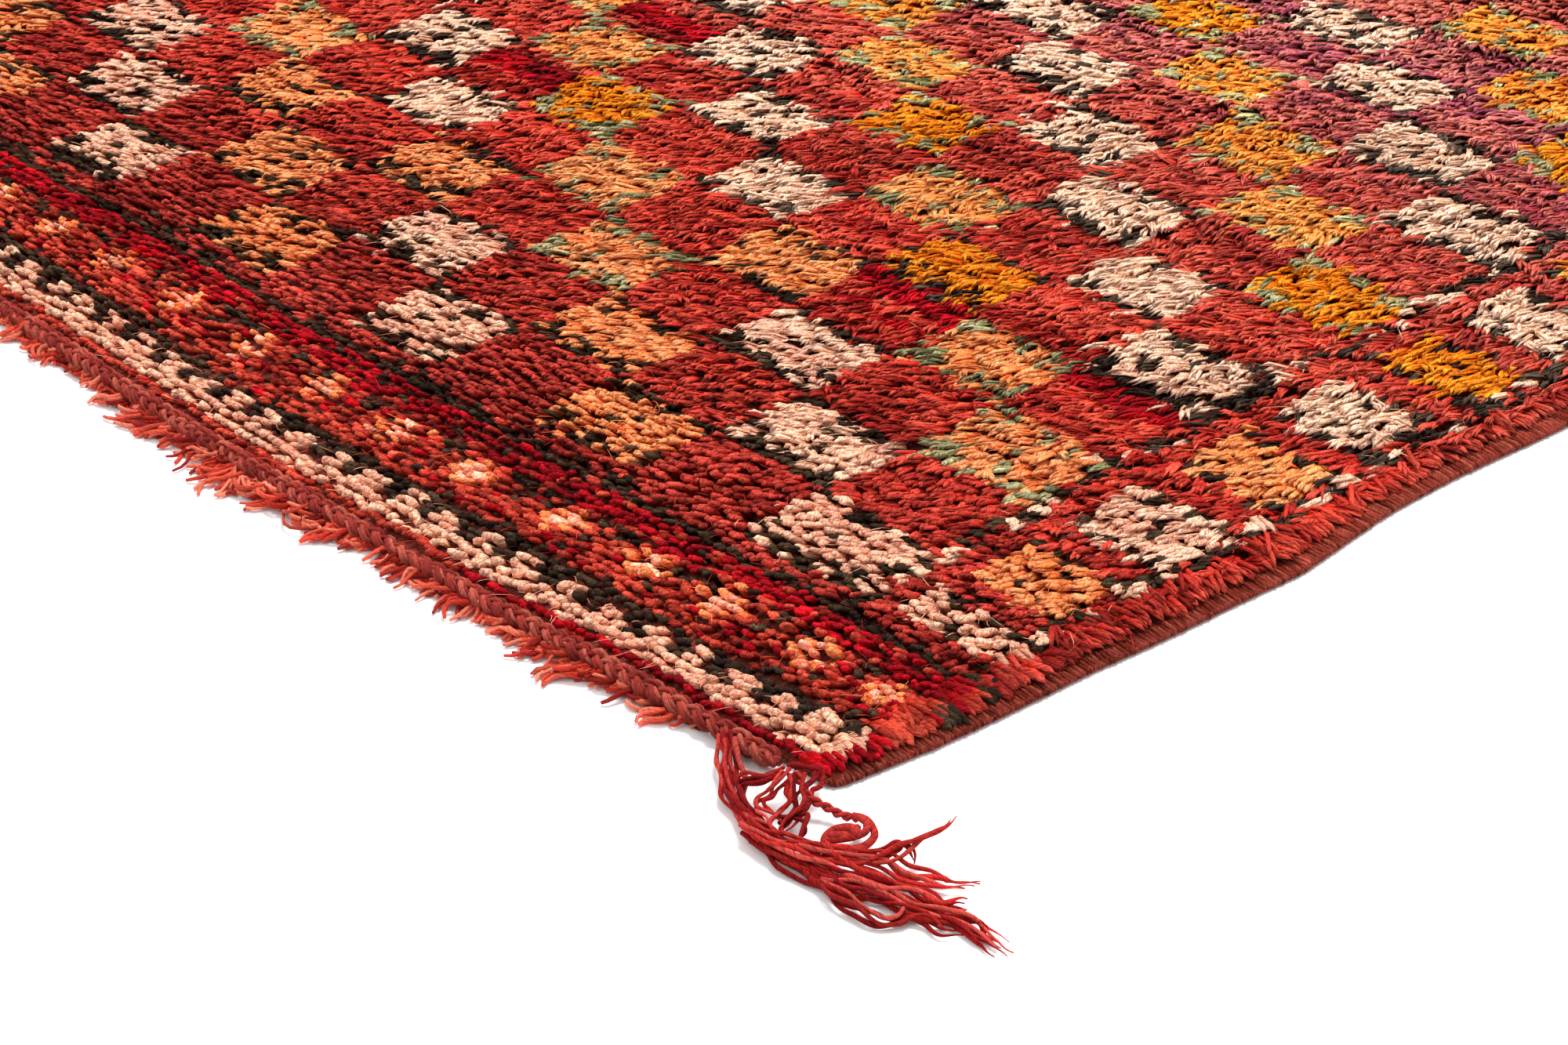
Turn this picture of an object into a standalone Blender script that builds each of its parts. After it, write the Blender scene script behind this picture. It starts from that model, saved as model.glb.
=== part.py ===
"""A hand-knotted wool rug with a plaited end cord, a fringe and a corner tassel.

Metres, +Z up. The origin is the middle of the rug's underside, and the rug lies on the plane
z = 0. The plaited end is at -Y. The tassel is at the corner +X, -Y.
"""

import math

import bmesh
import bpy
from mathutils import Vector, noise

# Driving sizes of the chequered field
CHECK_WIDTH = 0.075
CHECK_LENGTH = 0.061
CHECK_COLUMNS = 13
CHECK_ROWS = 26
SIDE_BORDER = 0.115
START_BORDER = 0.115
FAR_BORDER = 0.105

# Sizes that follow from them
HALF_WIDTH = CHECK_COLUMNS * CHECK_WIDTH / 2 + SIDE_BORDER
HALF_LENGTH = (CHECK_ROWS * CHECK_LENGTH + START_BORDER + FAR_BORDER) / 2

# Heights above the floor
WEB_EDGE_HEIGHT = 0.0032
WEB_HEIGHT = 0.0036
PILE_FOOT_HEIGHT = 0.0085
BORDER_PILE_HEIGHT = 0.0105
FIELD_PILE_HEIGHT = 0.0130
PILE_LUMP = 0.0042
PILE_LUMP_WIDTH = 0.12
PILE_LUMP_LENGTH = 0.055

# Places of the web and the pile's shoulder, in from the outline
SELVEDGE_WIDTH = 0.009
WALL_RUN = 0.0008
SHOULDER_WIDTH = 0.009
PLAITED_WEB_WIDTH = 0.0008
START_BORDER_FADE = 0.16

# Steps of the lumpy slab
SLAB_COLUMNS = 20
SLAB_ROWS = 72

# The outline's drift from straight lines: distance from the plaited end, and outward
RIGHT_SELVEDGE = (
    (0.000, -0.020),
    (0.055, -0.012),
    (0.110, -0.008),
    (0.170, -0.005),
    (0.205, -0.001),
    (0.250, 0.002),
    (0.300, 0.006),
    (0.370, 0.000),
    (0.420, 0.001),
    (0.500, 0.008),
    (0.800, 0.001),
    (1.200, 0.005),
    (1.806, -0.003),
)
LEFT_SELVEDGE = (
    (0.000, -0.008),
    (0.350, 0.004),
    (0.800, -0.003),
    (1.300, 0.005),
    (1.806, -0.002),
)
# The plaited end's drift: place across the rug, and inward
PLAITED_END = (
    (-0.605, 0.008),
    (-0.300, 0.003),
    (0.000, 0.001),
    (0.150, -0.001),
    (0.230, 0.001),
    (0.300, 0.005),
    (0.380, 0.008),
    (0.455, 0.014),
    (0.525, 0.018),
    (0.605, 0.020),
)
SELVEDGE_DRIFT_DEPTH = 0.09
END_DRIFT_DEPTH = 0.20

# Space between pieces that touch
GAP = 0.0003

# Pile locks over the selvedges: sections as shares of the reach and width, and the top's height
LOCK_REACH = 0.0078
LOCK_REACH_SPREAD = 0.0012
LOCK_SWAY = 0.25
LOCK_BOTTOM = WEB_HEIGHT + 0.0006
LOCK_SECTIONS = (
    (0.55, 0.78, PILE_FOOT_HEIGHT + 0.0004),
    (1.00, 0.35, LOCK_BOTTOM + 0.0016),
)

# The plaited cord
CORD_RADIUS = 0.0057
CORD_LOBE = 0.0008
CORD_LOBE_PITCH = 0.0096
CORD_START = -0.585
CORD_END = 0.557

# The fringe
STRIP_THICKNESS = 0.0014
STRIP_WIDTH = 0.006
STRIP_START = -0.577
STRIP_END = 0.515
FRINGE_PITCH = 0.012
FRINGE_REACH = 0.015
FRINGE_REACH_SPREAD = 0.006
FRINGE_TUFT = (0.235, 0.060, 0.011)
FRINGE_CURL = 0.005
FRINGE_HEIGHT = 0.0046
FRINGE_HEIGHT_SPREAD = 0.0008
# Sections of a fringe lock, as shares of its reach, width, height and curl
FRINGE_SECTIONS = (
    (0.30, 0.78, 1.00, 0.15),
    (0.68, 0.60, 0.90, 0.70),
    (1.00, 0.18, 0.26, 1.00),
)

# The tassel's head: along X and Y from the cord's end, half width and height
TASSEL_HEAD = (
    (0.0003, 0.0000, 0.0060, 0.0105),
    (0.0100, -0.0060, 0.0085, 0.0095),
    (0.0200, -0.0180, 0.0105, 0.0080),
    (0.0290, -0.0300, 0.0105, 0.0062),
    (0.0400, -0.0375, 0.0102, 0.0052),
)
# The line of its strands: along X and Y from the cord's end
TASSEL_SPINE = (
    (0.0400, -0.0375),
    (0.0520, -0.0365),
    (0.0660, -0.0320),
    (0.0800, -0.0270),
    (0.0950, -0.0230),
    (0.1120, -0.0200),
    (0.1300, -0.0185),
    (0.1500, -0.0180),
)
TASSEL_STRANDS_ACROSS = 8
HEAD_FURROW = 0.0011
STRAND_WIDTH = 0.0021
STRAND_HEIGHT = 0.0021
STRAND_LAYER = 0.0026
STRAND_TIP = 0.45
STRAND_LENGTHS = 3
LAYER_COMES_DOWN = 0.6
TASSEL_SPREAD = 2.1
TASSEL_SWAY = 0.0011

# The short cord with a balled knot: along X and Y from the cord's end, and radius
KNOT_ROUTE = (
    (0.0167, 0.0022, 0.0020),
    (0.0290, 0.0012, 0.0021),
    (0.0400, 0.0002, 0.0021),
    (0.0480, 0.0000, 0.0024),
    (0.0530, -0.0015, 0.0044),
    (0.0565, -0.0050, 0.0062),
    (0.0575, -0.0095, 0.0068),
    (0.0565, -0.0145, 0.0064),
    (0.0550, -0.0185, 0.0036),
)

# Yarn colours, linear
FIELD_RED = (0.479, 0.045, 0.026)
CORD_ROSE = (0.392, 0.056, 0.045)
FRINGE_CORAL = (0.687, 0.087, 0.045)
TASSEL_RED = (0.558, 0.033, 0.028)
KNOT_RED = (0.526, 0.040, 0.033)
WOOL_ROUGHNESS = 0.9


def clear_scene():
    """Remove whatever the file starts with."""
    for thing in list(bpy.data.objects):
        bpy.data.objects.remove(thing, do_unlink=True)


def make_collection(name):
    """Return a new collection in the scene."""
    group = bpy.data.collections.new(name)
    bpy.context.scene.collection.children.link(group)
    return group


def make_wool(name, colour):
    """Return a rough wool material of one colour."""
    wool = bpy.data.materials.new(name)
    wool.use_nodes = True
    shader = wool.node_tree.nodes["Principled BSDF"]
    shader.inputs["Base Color"].default_value = (*colour, 1.0)
    shader.inputs["Roughness"].default_value = WOOL_ROUGHNESS
    shader.inputs["Metallic"].default_value = 0.0
    return wool


def add_piece(bm, name, group, colour):
    """Turn a bmesh into a named object with its own wool."""
    bmesh.ops.recalc_face_normals(bm, faces=bm.faces)
    mesh = bpy.data.meshes.new(name)
    bm.to_mesh(mesh)
    bm.free()
    piece = bpy.data.objects.new(name, mesh)
    piece.data.materials.append(make_wool(name + "_wool", colour))
    group.objects.link(piece)
    return piece


def read_table(rows, place):
    """Read a two-column table at a place, straight between its rows."""
    if place <= rows[0][0]:
        return rows[0][1]
    for (start, first), (end, last) in zip(rows, rows[1:]):
        if place <= end:
            return first + (last - first) * (place - start) / (end - start)
    return rows[-1][1]


def ease(share):
    """Return 0 to 1 with a soft start and stop."""
    share = min(1.0, max(0.0, share))
    return share * share * (3 - 2 * share)


def steps_between(start, end, count):
    """Return count + 1 even places from start to end."""
    return [start + (end - start) * i / count for i in range(count + 1)]


def slab_columns():
    """Return the slab's places across the rug, web and shoulders included."""
    wall = HALF_WIDTH - SELVEDGE_WIDTH
    top = wall - WALL_RUN
    shoulder = top - SHOULDER_WIDTH
    left = [-HALF_WIDTH, -wall, -top]
    right = [top, wall, HALF_WIDTH]
    return left + steps_between(-shoulder, shoulder, SLAB_COLUMNS) + right


def slab_rows():
    """Return the slab's places along the rug: a narrow web at the plaited end, a hem at the far."""
    near_top = -HALF_LENGTH + PLAITED_WEB_WIDTH
    near_shoulder = near_top + SHOULDER_WIDTH
    far_wall = HALF_LENGTH - SELVEDGE_WIDTH
    far_top = far_wall - WALL_RUN
    far_shoulder = far_top - SHOULDER_WIDTH
    middle = steps_between(near_shoulder, far_shoulder, SLAB_ROWS)
    return [-HALF_LENGTH, near_top] + middle + [far_top, far_wall, HALF_LENGTH]


def drifted(x, y):
    """Move a place of the straight rug to where the uneven rug has it."""
    along = y + HALF_LENGTH
    table = RIGHT_SELVEDGE if x > 0 else LEFT_SELVEDGE
    side_share = ease(1 - (HALF_WIDTH - abs(x)) / SELVEDGE_DRIFT_DEPTH)
    outward = read_table(table, along) * side_share
    inward = read_table(PLAITED_END, x) * ease(1 - along / END_DRIFT_DEPTH)
    side = 1 if x > 0 else -1
    return x + side * outward, y + inward


def pile_top(x, y):
    """Return the pile's height: short in the start border, lumpy throughout."""
    along = y + HALF_LENGTH
    field_share = ease(along / START_BORDER_FADE)
    height = BORDER_PILE_HEIGHT + (FIELD_PILE_HEIGHT - BORDER_PILE_HEIGHT) * field_share
    broad = noise.noise(Vector((x / PILE_LUMP_WIDTH, y / PILE_LUMP_LENGTH, 0.5)))
    fine = noise.noise(Vector((x / PILE_LUMP_WIDTH * 2.3, y / PILE_LUMP_LENGTH * 2.3, 4.5)))
    return height + PILE_LUMP * (broad + 0.6 * fine)


def slab_height(column, row, last_column, last_row, x, y):
    """Return the slab's top height at a grid point."""
    if column in (0, last_column) or row in (0, last_row):
        return WEB_EDGE_HEIGHT
    if column in (1, last_column - 1) or row == last_row - 1:
        return WEB_HEIGHT
    if column in (2, last_column - 2) or row in (1, last_row - 2):
        return PILE_FOOT_HEIGHT
    return pile_top(x, y)


def section_corners(face, across):
    """Sort a four-sided face's corners by side (-1 or 1) and by bottom or top (-1 or 1)."""
    middle = face.calc_center_median()
    sides = {}
    for vert in face.verts:
        offset = vert.co - middle
        side = 1 if offset.dot(across) > 0 else -1
        level = 1 if offset.z > 0 else -1
        sides[(side, level)] = vert
    return sides


def grow(bm, face, sections):
    """Draw a strand out of a face.

    Each section is its middle, its unit vector across, its half width, its bottom and its top.
    """
    for middle, across, half_width, bottom, top in sections:
        face = bmesh.ops.extrude_discrete_faces(bm, faces=[face])["faces"][0]
        for (side, level), corner in section_corners(face, across).items():
            height = top if level > 0 else bottom
            place = middle + across * (side * half_width)
            corner.co = Vector((place.x, place.y, height))


def selvedge_walls(bm):
    """Return the pile's steep side faces over both selvedges, in a fixed order."""
    walls = []
    for face in bm.faces:
        middle = face.calc_center_median()
        in_pile = -HALF_LENGTH + SHOULDER_WIDTH < middle.y < HALF_LENGTH - 2 * SHOULDER_WIDTH
        if abs(face.normal.x) > 0.7 and middle.z > WEB_HEIGHT and in_pile:
            walls.append(face)
    walls.sort(key=lambda face: (face.calc_center_median().x > 0, face.calc_center_median().y))
    return walls


def grow_rim_locks(bm):
    """Grow a drooping pile lock out of every wall face over both selvedges."""
    across = Vector((0, 1, 0))
    for number, face in enumerate(selvedge_walls(bm)):
        middle = face.calc_center_median()
        outward = Vector((math.copysign(1, middle.x), 0, 0))
        half = max(abs(vert.co.y - middle.y) for vert in face.verts)
        reach = LOCK_REACH + LOCK_REACH_SPREAD * math.sin(number * 2.4)
        sway = LOCK_SWAY * half * math.sin(number * 1.7)
        sections = []
        for share, width, top in LOCK_SECTIONS:
            place = middle + outward * (reach * share) - across * (sway * share)
            sections.append((place, across, half * width, LOCK_BOTTOM, top))
        grow(bm, face, sections)


def build_body(group):
    """Make the rug: one lumpy slab on a flat underside, with locks over its selvedges."""
    column_places = slab_columns()
    row_places = slab_rows()
    last_column = len(column_places) - 1
    last_row = len(row_places) - 1
    bm = bmesh.new()
    bmesh.ops.create_grid(bm, x_segments=last_column, y_segments=last_row, size=1.0)
    for vert in bm.verts:
        column = round((vert.co.x + 1) / 2 * last_column)
        row = round((vert.co.y + 1) / 2 * last_row)
        x, y = column_places[column], row_places[row]
        z = slab_height(column, row, last_column, last_row, x, y)
        x, y = drifted(x, y)
        vert.co = Vector((x, y, z))
    rim = [edge for edge in bm.edges if edge.is_boundary]
    skirt = bmesh.ops.extrude_edge_only(bm, edges=rim)["geom"]
    low_edges = [item for item in skirt if isinstance(item, bmesh.types.BMEdge) and item.is_boundary]
    for vert in {vert for edge in low_edges for vert in edge.verts}:
        vert.co.z = 0.0
    bmesh.ops.contextual_create(bm, geom=low_edges)
    bmesh.ops.recalc_face_normals(bm, faces=bm.faces)
    grow_rim_locks(bm)
    return add_piece(bm, "rug_body", group, FIELD_RED)


def plaited_edge(x):
    """Return the slab's outline at the plaited end, straight between the slab's columns."""
    points = [drifted(place, -HALF_LENGTH) for place in slab_columns()]
    return read_table(points, x)


def cord_middle(x):
    """Return the cord's place along Y beside the plaited end."""
    return plaited_edge(x) - CORD_RADIUS - CORD_LOBE - GAP


def cord_height():
    """Return the height of the cord's middle: its flat lower side lies over the fringe's strip."""
    return STRIP_THICKNESS + GAP + CORD_RADIUS * math.sin(math.pi / 3)


def tube_mesh(name, points, radii, sides_step):
    """Return a bmesh of a round tube through points, with welded caps."""
    curve = bpy.data.curves.new(name, "CURVE")
    curve.dimensions = "3D"
    curve.bevel_depth = 1.0
    curve.bevel_resolution = sides_step
    curve.use_fill_caps = True
    line = curve.splines.new("POLY")
    line.points.add(len(points) - 1)
    for knot, place, radius in zip(line.points, points, radii):
        knot.co = (*place, 1.0)
        knot.radius = radius
    guide = bpy.data.objects.new(name, curve)
    bpy.context.scene.collection.objects.link(guide)
    bpy.context.view_layer.update()
    mesh = bpy.data.meshes.new_from_object(guide.evaluated_get(bpy.context.evaluated_depsgraph_get()))
    bm = bmesh.new()
    bm.from_mesh(mesh)
    bmesh.ops.remove_doubles(bm, verts=bm.verts, dist=0.00001)
    bpy.data.objects.remove(guide, do_unlink=True)
    bpy.data.meshes.remove(mesh)
    return bm


def build_cord(group):
    """Make the plaited cord: a tube whose two sides bulge by turns, one lobe a strand."""
    half_lobes = round(2 * (CORD_END - CORD_START) / CORD_LOBE_PITCH)
    places = steps_between(CORD_START, CORD_END, half_lobes)
    points = [(x, cord_middle(x), cord_height()) for x in places]
    bm = tube_mesh("end_cord", points, [CORD_RADIUS] * len(points), 1)
    for vert in bm.verts:
        turn = round((vert.co.x - CORD_START) / (CORD_END - CORD_START) * half_lobes)
        offset = vert.co.y - cord_middle(vert.co.x)
        if abs(offset) > CORD_RADIUS / 4:
            side = math.copysign(1, offset)
            bulge = CORD_LOBE if (turn % 2 == 0) == (side > 0) else -CORD_LOBE
            vert.co.y += side * bulge
    return add_piece(bm, "end_cord", group, CORD_ROSE)


def fringe_reach(x, number):
    """Return how far a lock reaches past the strip, longest in the middle tuft."""
    place, width, more = FRINGE_TUFT
    tuft = more * ease(1 - abs(x - place) / width)
    return FRINGE_REACH + tuft + FRINGE_REACH_SPREAD * math.sin(number * 2.1)


def build_fringe(group):
    """Make the fringe: a strip under the cord and one curly lock from each step of its front."""
    count = round((STRIP_END - STRIP_START) / FRINGE_PITCH)
    bm = bmesh.new()
    bmesh.ops.create_cube(bm, size=1.0)
    long_edges = [edge for edge in bm.edges if abs(edge.verts[0].co.x - edge.verts[1].co.x) > 0.5]
    bmesh.ops.subdivide_edges(bm, edges=long_edges, cuts=count - 1, use_grid_fill=True)
    for vert in bm.verts:
        x = STRIP_START + (STRIP_END - STRIP_START) * (vert.co.x + 0.5)
        back = cord_middle(x)
        y = back if vert.co.y > 0 else back - STRIP_WIDTH
        z = STRIP_THICKNESS if vert.co.z > 0 else 0.0
        vert.co = Vector((x, y, z))
    bmesh.ops.recalc_face_normals(bm, faces=bm.faces)
    front = [face for face in bm.faces if face.normal.y < -0.7]
    front.sort(key=lambda face: face.calc_center_median().x)
    across = Vector((1, 0, 0))
    for number, face in enumerate(front):
        root = face.calc_center_median()
        reach = fringe_reach(root.x, number)
        half = FRINGE_PITCH / 2
        curl = FRINGE_CURL * math.sin(number * 1.3 + 0.4)
        height = FRINGE_HEIGHT + FRINGE_HEIGHT_SPREAD * math.sin(number * 2.9)
        sections = []
        for share, width, thickness, bend in FRINGE_SECTIONS:
            place = root + Vector((curl * bend, -reach * share, 0))
            sections.append((place, across, half * width, 0.0, height * thickness))
        grow(bm, face, sections)
    return add_piece(bm, "end_fringe", group, FRINGE_CORAL)


def direction_at(points, index):
    """Return the unit direction of a route at one of its points, in the plane."""
    before = Vector(points[max(0, index - 1)][:2])
    after = Vector(points[min(len(points) - 1, index + 1)][:2])
    run = (after - before).normalized()
    return Vector((run.x, run.y, 0.0))


def strand_sections(origin, column, layer):
    """Return the sections of one tassel strand, from the head's end to its splayed tip."""
    centred = column - (TASSEL_STRANDS_ACROSS - 1) / 2
    pitch = 2 * TASSEL_HEAD[-1][2] / TASSEL_STRANDS_ACROSS
    last = len(TASSEL_SPINE) - 1
    count = last - (column * 2 + layer) % STRAND_LENGTHS
    sections = []
    for index in range(1, count + 1):
        share = index / last
        run = direction_at(TASSEL_SPINE, index)
        across = Vector((-run.y, run.x, 0.0))
        stagger = 0.5 * layer * ease(share * 4)
        sway = TASSEL_SWAY * share * math.sin(column * 2.2 + layer * 1.1 + index * 1.3)
        offset = pitch * (centred + stagger) * (1 + TASSEL_SPREAD * share * share) + sway
        x, y = TASSEL_SPINE[index]
        place = origin + Vector((x, y, 0.0)) + across * offset
        bottom = layer * STRAND_LAYER * (1 - ease((share - LAYER_COMES_DOWN) * 4))
        taper = 1.0 if index < count else STRAND_TIP
        half = STRAND_WIDTH / 2 * taper
        sections.append((place, across, half, bottom, bottom + STRAND_HEIGHT * taper))
    return sections


def build_tassel(group):
    """Make the tassel: a head that widens from the cord's end, and strands in two layers."""
    origin = Vector((CORD_END, cord_middle(CORD_END), 0.0))
    bm = bmesh.new()
    bmesh.ops.create_cube(bm, size=1.0)
    wide = [edge for edge in bm.edges if abs(edge.verts[0].co.y - edge.verts[1].co.y) > 0.5]
    bmesh.ops.subdivide_edges(bm, edges=wide, cuts=TASSEL_STRANDS_ACROSS - 1, use_grid_fill=True)
    tall = [edge for edge in bm.edges if abs(edge.verts[0].co.z - edge.verts[1].co.z) > 0.5]
    bmesh.ops.subdivide_edges(bm, edges=tall, cuts=1, use_grid_fill=True)
    long = [edge for edge in bm.edges if abs(edge.verts[0].co.x - edge.verts[1].co.x) > 0.5]
    bmesh.ops.subdivide_edges(bm, edges=long, cuts=len(TASSEL_HEAD) - 2, use_grid_fill=True)
    for vert in bm.verts:
        index = round((vert.co.x + 0.5) * (len(TASSEL_HEAD) - 1))
        x, y, half, height = TASSEL_HEAD[index]
        run = Vector((1, 0, 0)) if index == 0 else direction_at(TASSEL_HEAD, index)
        if index == len(TASSEL_HEAD) - 1:
            run = direction_at(TASSEL_SPINE, 0)
        across = Vector((-run.y, run.x, 0.0))
        place = origin + Vector((x, y, 0.0)) + across * (2 * half * vert.co.y)
        strand_line = round((vert.co.y + 0.5) * TASSEL_STRANDS_ACROSS)
        top = height - HEAD_FURROW * (strand_line % 2)
        vert.co = Vector((place.x, place.y, top * (vert.co.z + 0.5)))
    bmesh.ops.recalc_face_normals(bm, faces=bm.faces)
    tip = origin + Vector((*TASSEL_HEAD[-1][:2], 0.0))
    run = direction_at(TASSEL_SPINE, 0)
    across = Vector((-run.y, run.x, 0.0))
    ends = [face for face in bm.faces if face.normal.dot(run) > 0.9]
    ends = [face for face in ends if abs((face.calc_center_median() - tip).dot(run)) < 0.0005]
    middle_height = TASSEL_HEAD[-1][3] / 2
    ends.sort(key=lambda face: (face.calc_center_median() - tip).dot(across))
    lower = [face for face in ends if face.calc_center_median().z < middle_height]
    upper = [face for face in ends if face.calc_center_median().z > middle_height]
    for layer, faces in enumerate((lower, upper)):
        for column, face in enumerate(faces):
            grow(bm, face, strand_sections(origin, column, layer))
    return add_piece(bm, "corner_tassel", group, TASSEL_RED)


def build_knot(group):
    """Make the short cord that swells into a balled knot, resting on the floor."""
    origin = Vector((CORD_END, cord_middle(CORD_END), 0.0))
    points = []
    for x, y, radius in KNOT_ROUTE:
        points.append((origin.x + x, origin.y + y, radius))
    bm = tube_mesh("corner_knot", points, [row[2] for row in KNOT_ROUTE], 2)
    for vert in bm.verts:
        vert.co.z = max(0.0, vert.co.z)
    return add_piece(bm, "corner_knot", group, KNOT_RED)


def main():
    """Build the rug and what hangs on its edge."""
    clear_scene()
    group = make_collection("berber_rug")
    build_body(group)
    build_cord(group)
    build_fringe(group)
    build_tassel(group)
    build_knot(group)


main()
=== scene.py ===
"""A hand-knotted wool rug lying on a plain floor, built round its CAD solids.

The rug is made as a weaver makes it: a flat woven ground, rows of wool knots cut to a shaggy pile in a
pattern of checks, a plaited cord along the end that was woven first, a curly fringe under the cord, and a
loose tassel with a small knotted cord at the corner.
"""

from __future__ import annotations

import logging
import math
from dataclasses import dataclass, field, fields, replace
from enum import Enum
from typing import Sequence

import bmesh
import bpy
import numpy as np
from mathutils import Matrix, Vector, noise


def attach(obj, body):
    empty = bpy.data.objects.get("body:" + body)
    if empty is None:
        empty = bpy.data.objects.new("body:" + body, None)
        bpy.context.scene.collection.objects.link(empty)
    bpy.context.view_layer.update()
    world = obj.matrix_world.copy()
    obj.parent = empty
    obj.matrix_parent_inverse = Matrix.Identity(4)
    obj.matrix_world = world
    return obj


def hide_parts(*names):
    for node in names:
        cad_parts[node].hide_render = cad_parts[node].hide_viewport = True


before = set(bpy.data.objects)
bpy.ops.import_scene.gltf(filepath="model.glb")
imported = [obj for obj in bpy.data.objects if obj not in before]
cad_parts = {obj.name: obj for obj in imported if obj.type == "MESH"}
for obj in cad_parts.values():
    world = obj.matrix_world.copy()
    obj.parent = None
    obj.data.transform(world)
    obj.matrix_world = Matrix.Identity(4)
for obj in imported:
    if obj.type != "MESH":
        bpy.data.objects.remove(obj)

LOG = logging.getLogger("berber_rug")

FULL_TURN = 2.0 * math.pi
ANY_PHASE = 6.0  # radians; a random wave starts anywhere up to here
FLOOR_GAP = 0.0002  # metres between the floor and the lowest wool

Array = np.ndarray
Table = tuple[tuple[float, float], ...]
Route = tuple[tuple[float, float, float], ...]


# Shared helpers


def linear(code: str) -> Array:
    """Turn an sRGB hex colour into linear red, green and blue.

    Args:
        code: The colour as "#rrggbb".

    Returns:
        Three linear values.
    """
    channels = np.array([int(code[i : i + 2], 16) for i in (1, 3, 5)]) / 255.0
    return np.where(channels <= 0.04045, channels / 12.92, ((channels + 0.055) / 1.055) ** 2.4)


def smooth(share: Array) -> Array:
    """Ease a share from 0 to 1 with a soft start and end."""
    share = np.clip(share, 0.0, 1.0)
    return share * share * (3.0 - 2.0 * share)


def read(table: Table, at: Array) -> Array:
    """Read a table of (place, value) rows, straight between its rows."""
    places, values = zip(*table)
    return np.interp(at, places, values)


def ripple(x: Array, y: Array, width: float, length: float, seed: float) -> Array:
    """Return smooth noise at points of the rug.

    Args:
        x: Places across the rug.
        y: Places along the rug.
        width: Size of a lump across.
        length: Size of a lump along.
        seed: Picks another stretch of the noise.

    Returns:
        Values from about -1 to 1.
    """
    places = zip(np.ravel(x) / width, np.ravel(y) / length)
    values = [noise.noise(Vector((a, b, seed))) for a, b in places]
    return np.array(values).reshape(np.shape(x))


def unit(vectors: Array) -> Array:
    """Scale vectors to length one."""
    return vectors / np.maximum(np.linalg.norm(vectors, axis=-1, keepdims=True), 1e-9)


def travelled(line: Array) -> Array:
    """Return how far along a line each of its points lies."""
    return np.concatenate([[0.0], np.cumsum(np.linalg.norm(np.diff(line, axis=0), axis=1))])


def sideways(line: Array) -> Array:
    """Return the level direction across a line at each of its points."""
    heading = unit(np.gradient(line[:, :2], axis=0))
    return np.stack([-heading[:, 1], heading[:, 0]], axis=1)


def level_ways(heading: Array) -> tuple[Array, Array]:
    """Return the level directions along and across headings.

    Args:
        heading: Angles in radians, nought towards the plaited end.

    Returns:
        The directions along them and across them.
    """
    nought = np.zeros(len(heading))
    lean = np.stack([np.sin(heading), -np.cos(heading), nought], axis=1)
    across = np.stack([np.cos(heading), np.sin(heading), nought], axis=1)
    return lean, across


def place(name: str, data: bpy.types.ID) -> bpy.types.Object:
    """Put an object with a mesh, light or camera at the origin.

    Args:
        name: The object's name.
        data: Its mesh, light or camera.

    Returns:
        The object.
    """
    thing = bpy.data.objects.new(name, data)
    bpy.context.collection.objects.link(thing)
    return thing


def finished(bm: bmesh.types.BMesh, name: str) -> bpy.types.Mesh:
    """Turn a finished bmesh into a mesh.

    Args:
        bm: The bmesh, which is freed.
        name: The mesh's name.

    Returns:
        The mesh.
    """
    mesh = bpy.data.meshes.new(name)
    bm.to_mesh(mesh)
    bm.free()
    return mesh


class Nodes:
    """A new material's nodes, added one after another round its own shader."""

    def __init__(self, name: str) -> None:
        """Make the material.

        Args:
            name: The material's name.
        """
        self.material = bpy.data.materials.new(name)
        self.material.use_nodes = True
        self.tree = self.material.node_tree
        self.shader = self.tree.nodes["Principled BSDF"]

    def dress(self, node: bpy.types.Node, settings: dict, sources: dict) -> bpy.types.Node:
        """Give a node its settings and links.

        Args:
            node: The node.
            settings: Values by property name, or by input name or number.
            sources: Output sockets by the name or number of the input that they feed.

        Returns:
            The node.
        """
        for name, value in settings.items():
            if isinstance(name, int) or name in node.inputs:
                node.inputs[name].default_value = value
            else:
                setattr(node, name, value)
        for name, source in sources.items():
            self.tree.links.new(source, node.inputs[name])
        return node

    def add(self, kind: str, settings: dict, sources: dict | None = None) -> bpy.types.Node:
        """Add a shader node with its settings and links.

        Args:
            kind: The node's type, without its prefix.
            settings: Its settings.
            sources: What feeds it.

        Returns:
            The node.
        """
        return self.dress(self.tree.nodes.new(f"ShaderNode{kind}"), settings, sources or {})


# Finishes


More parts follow.
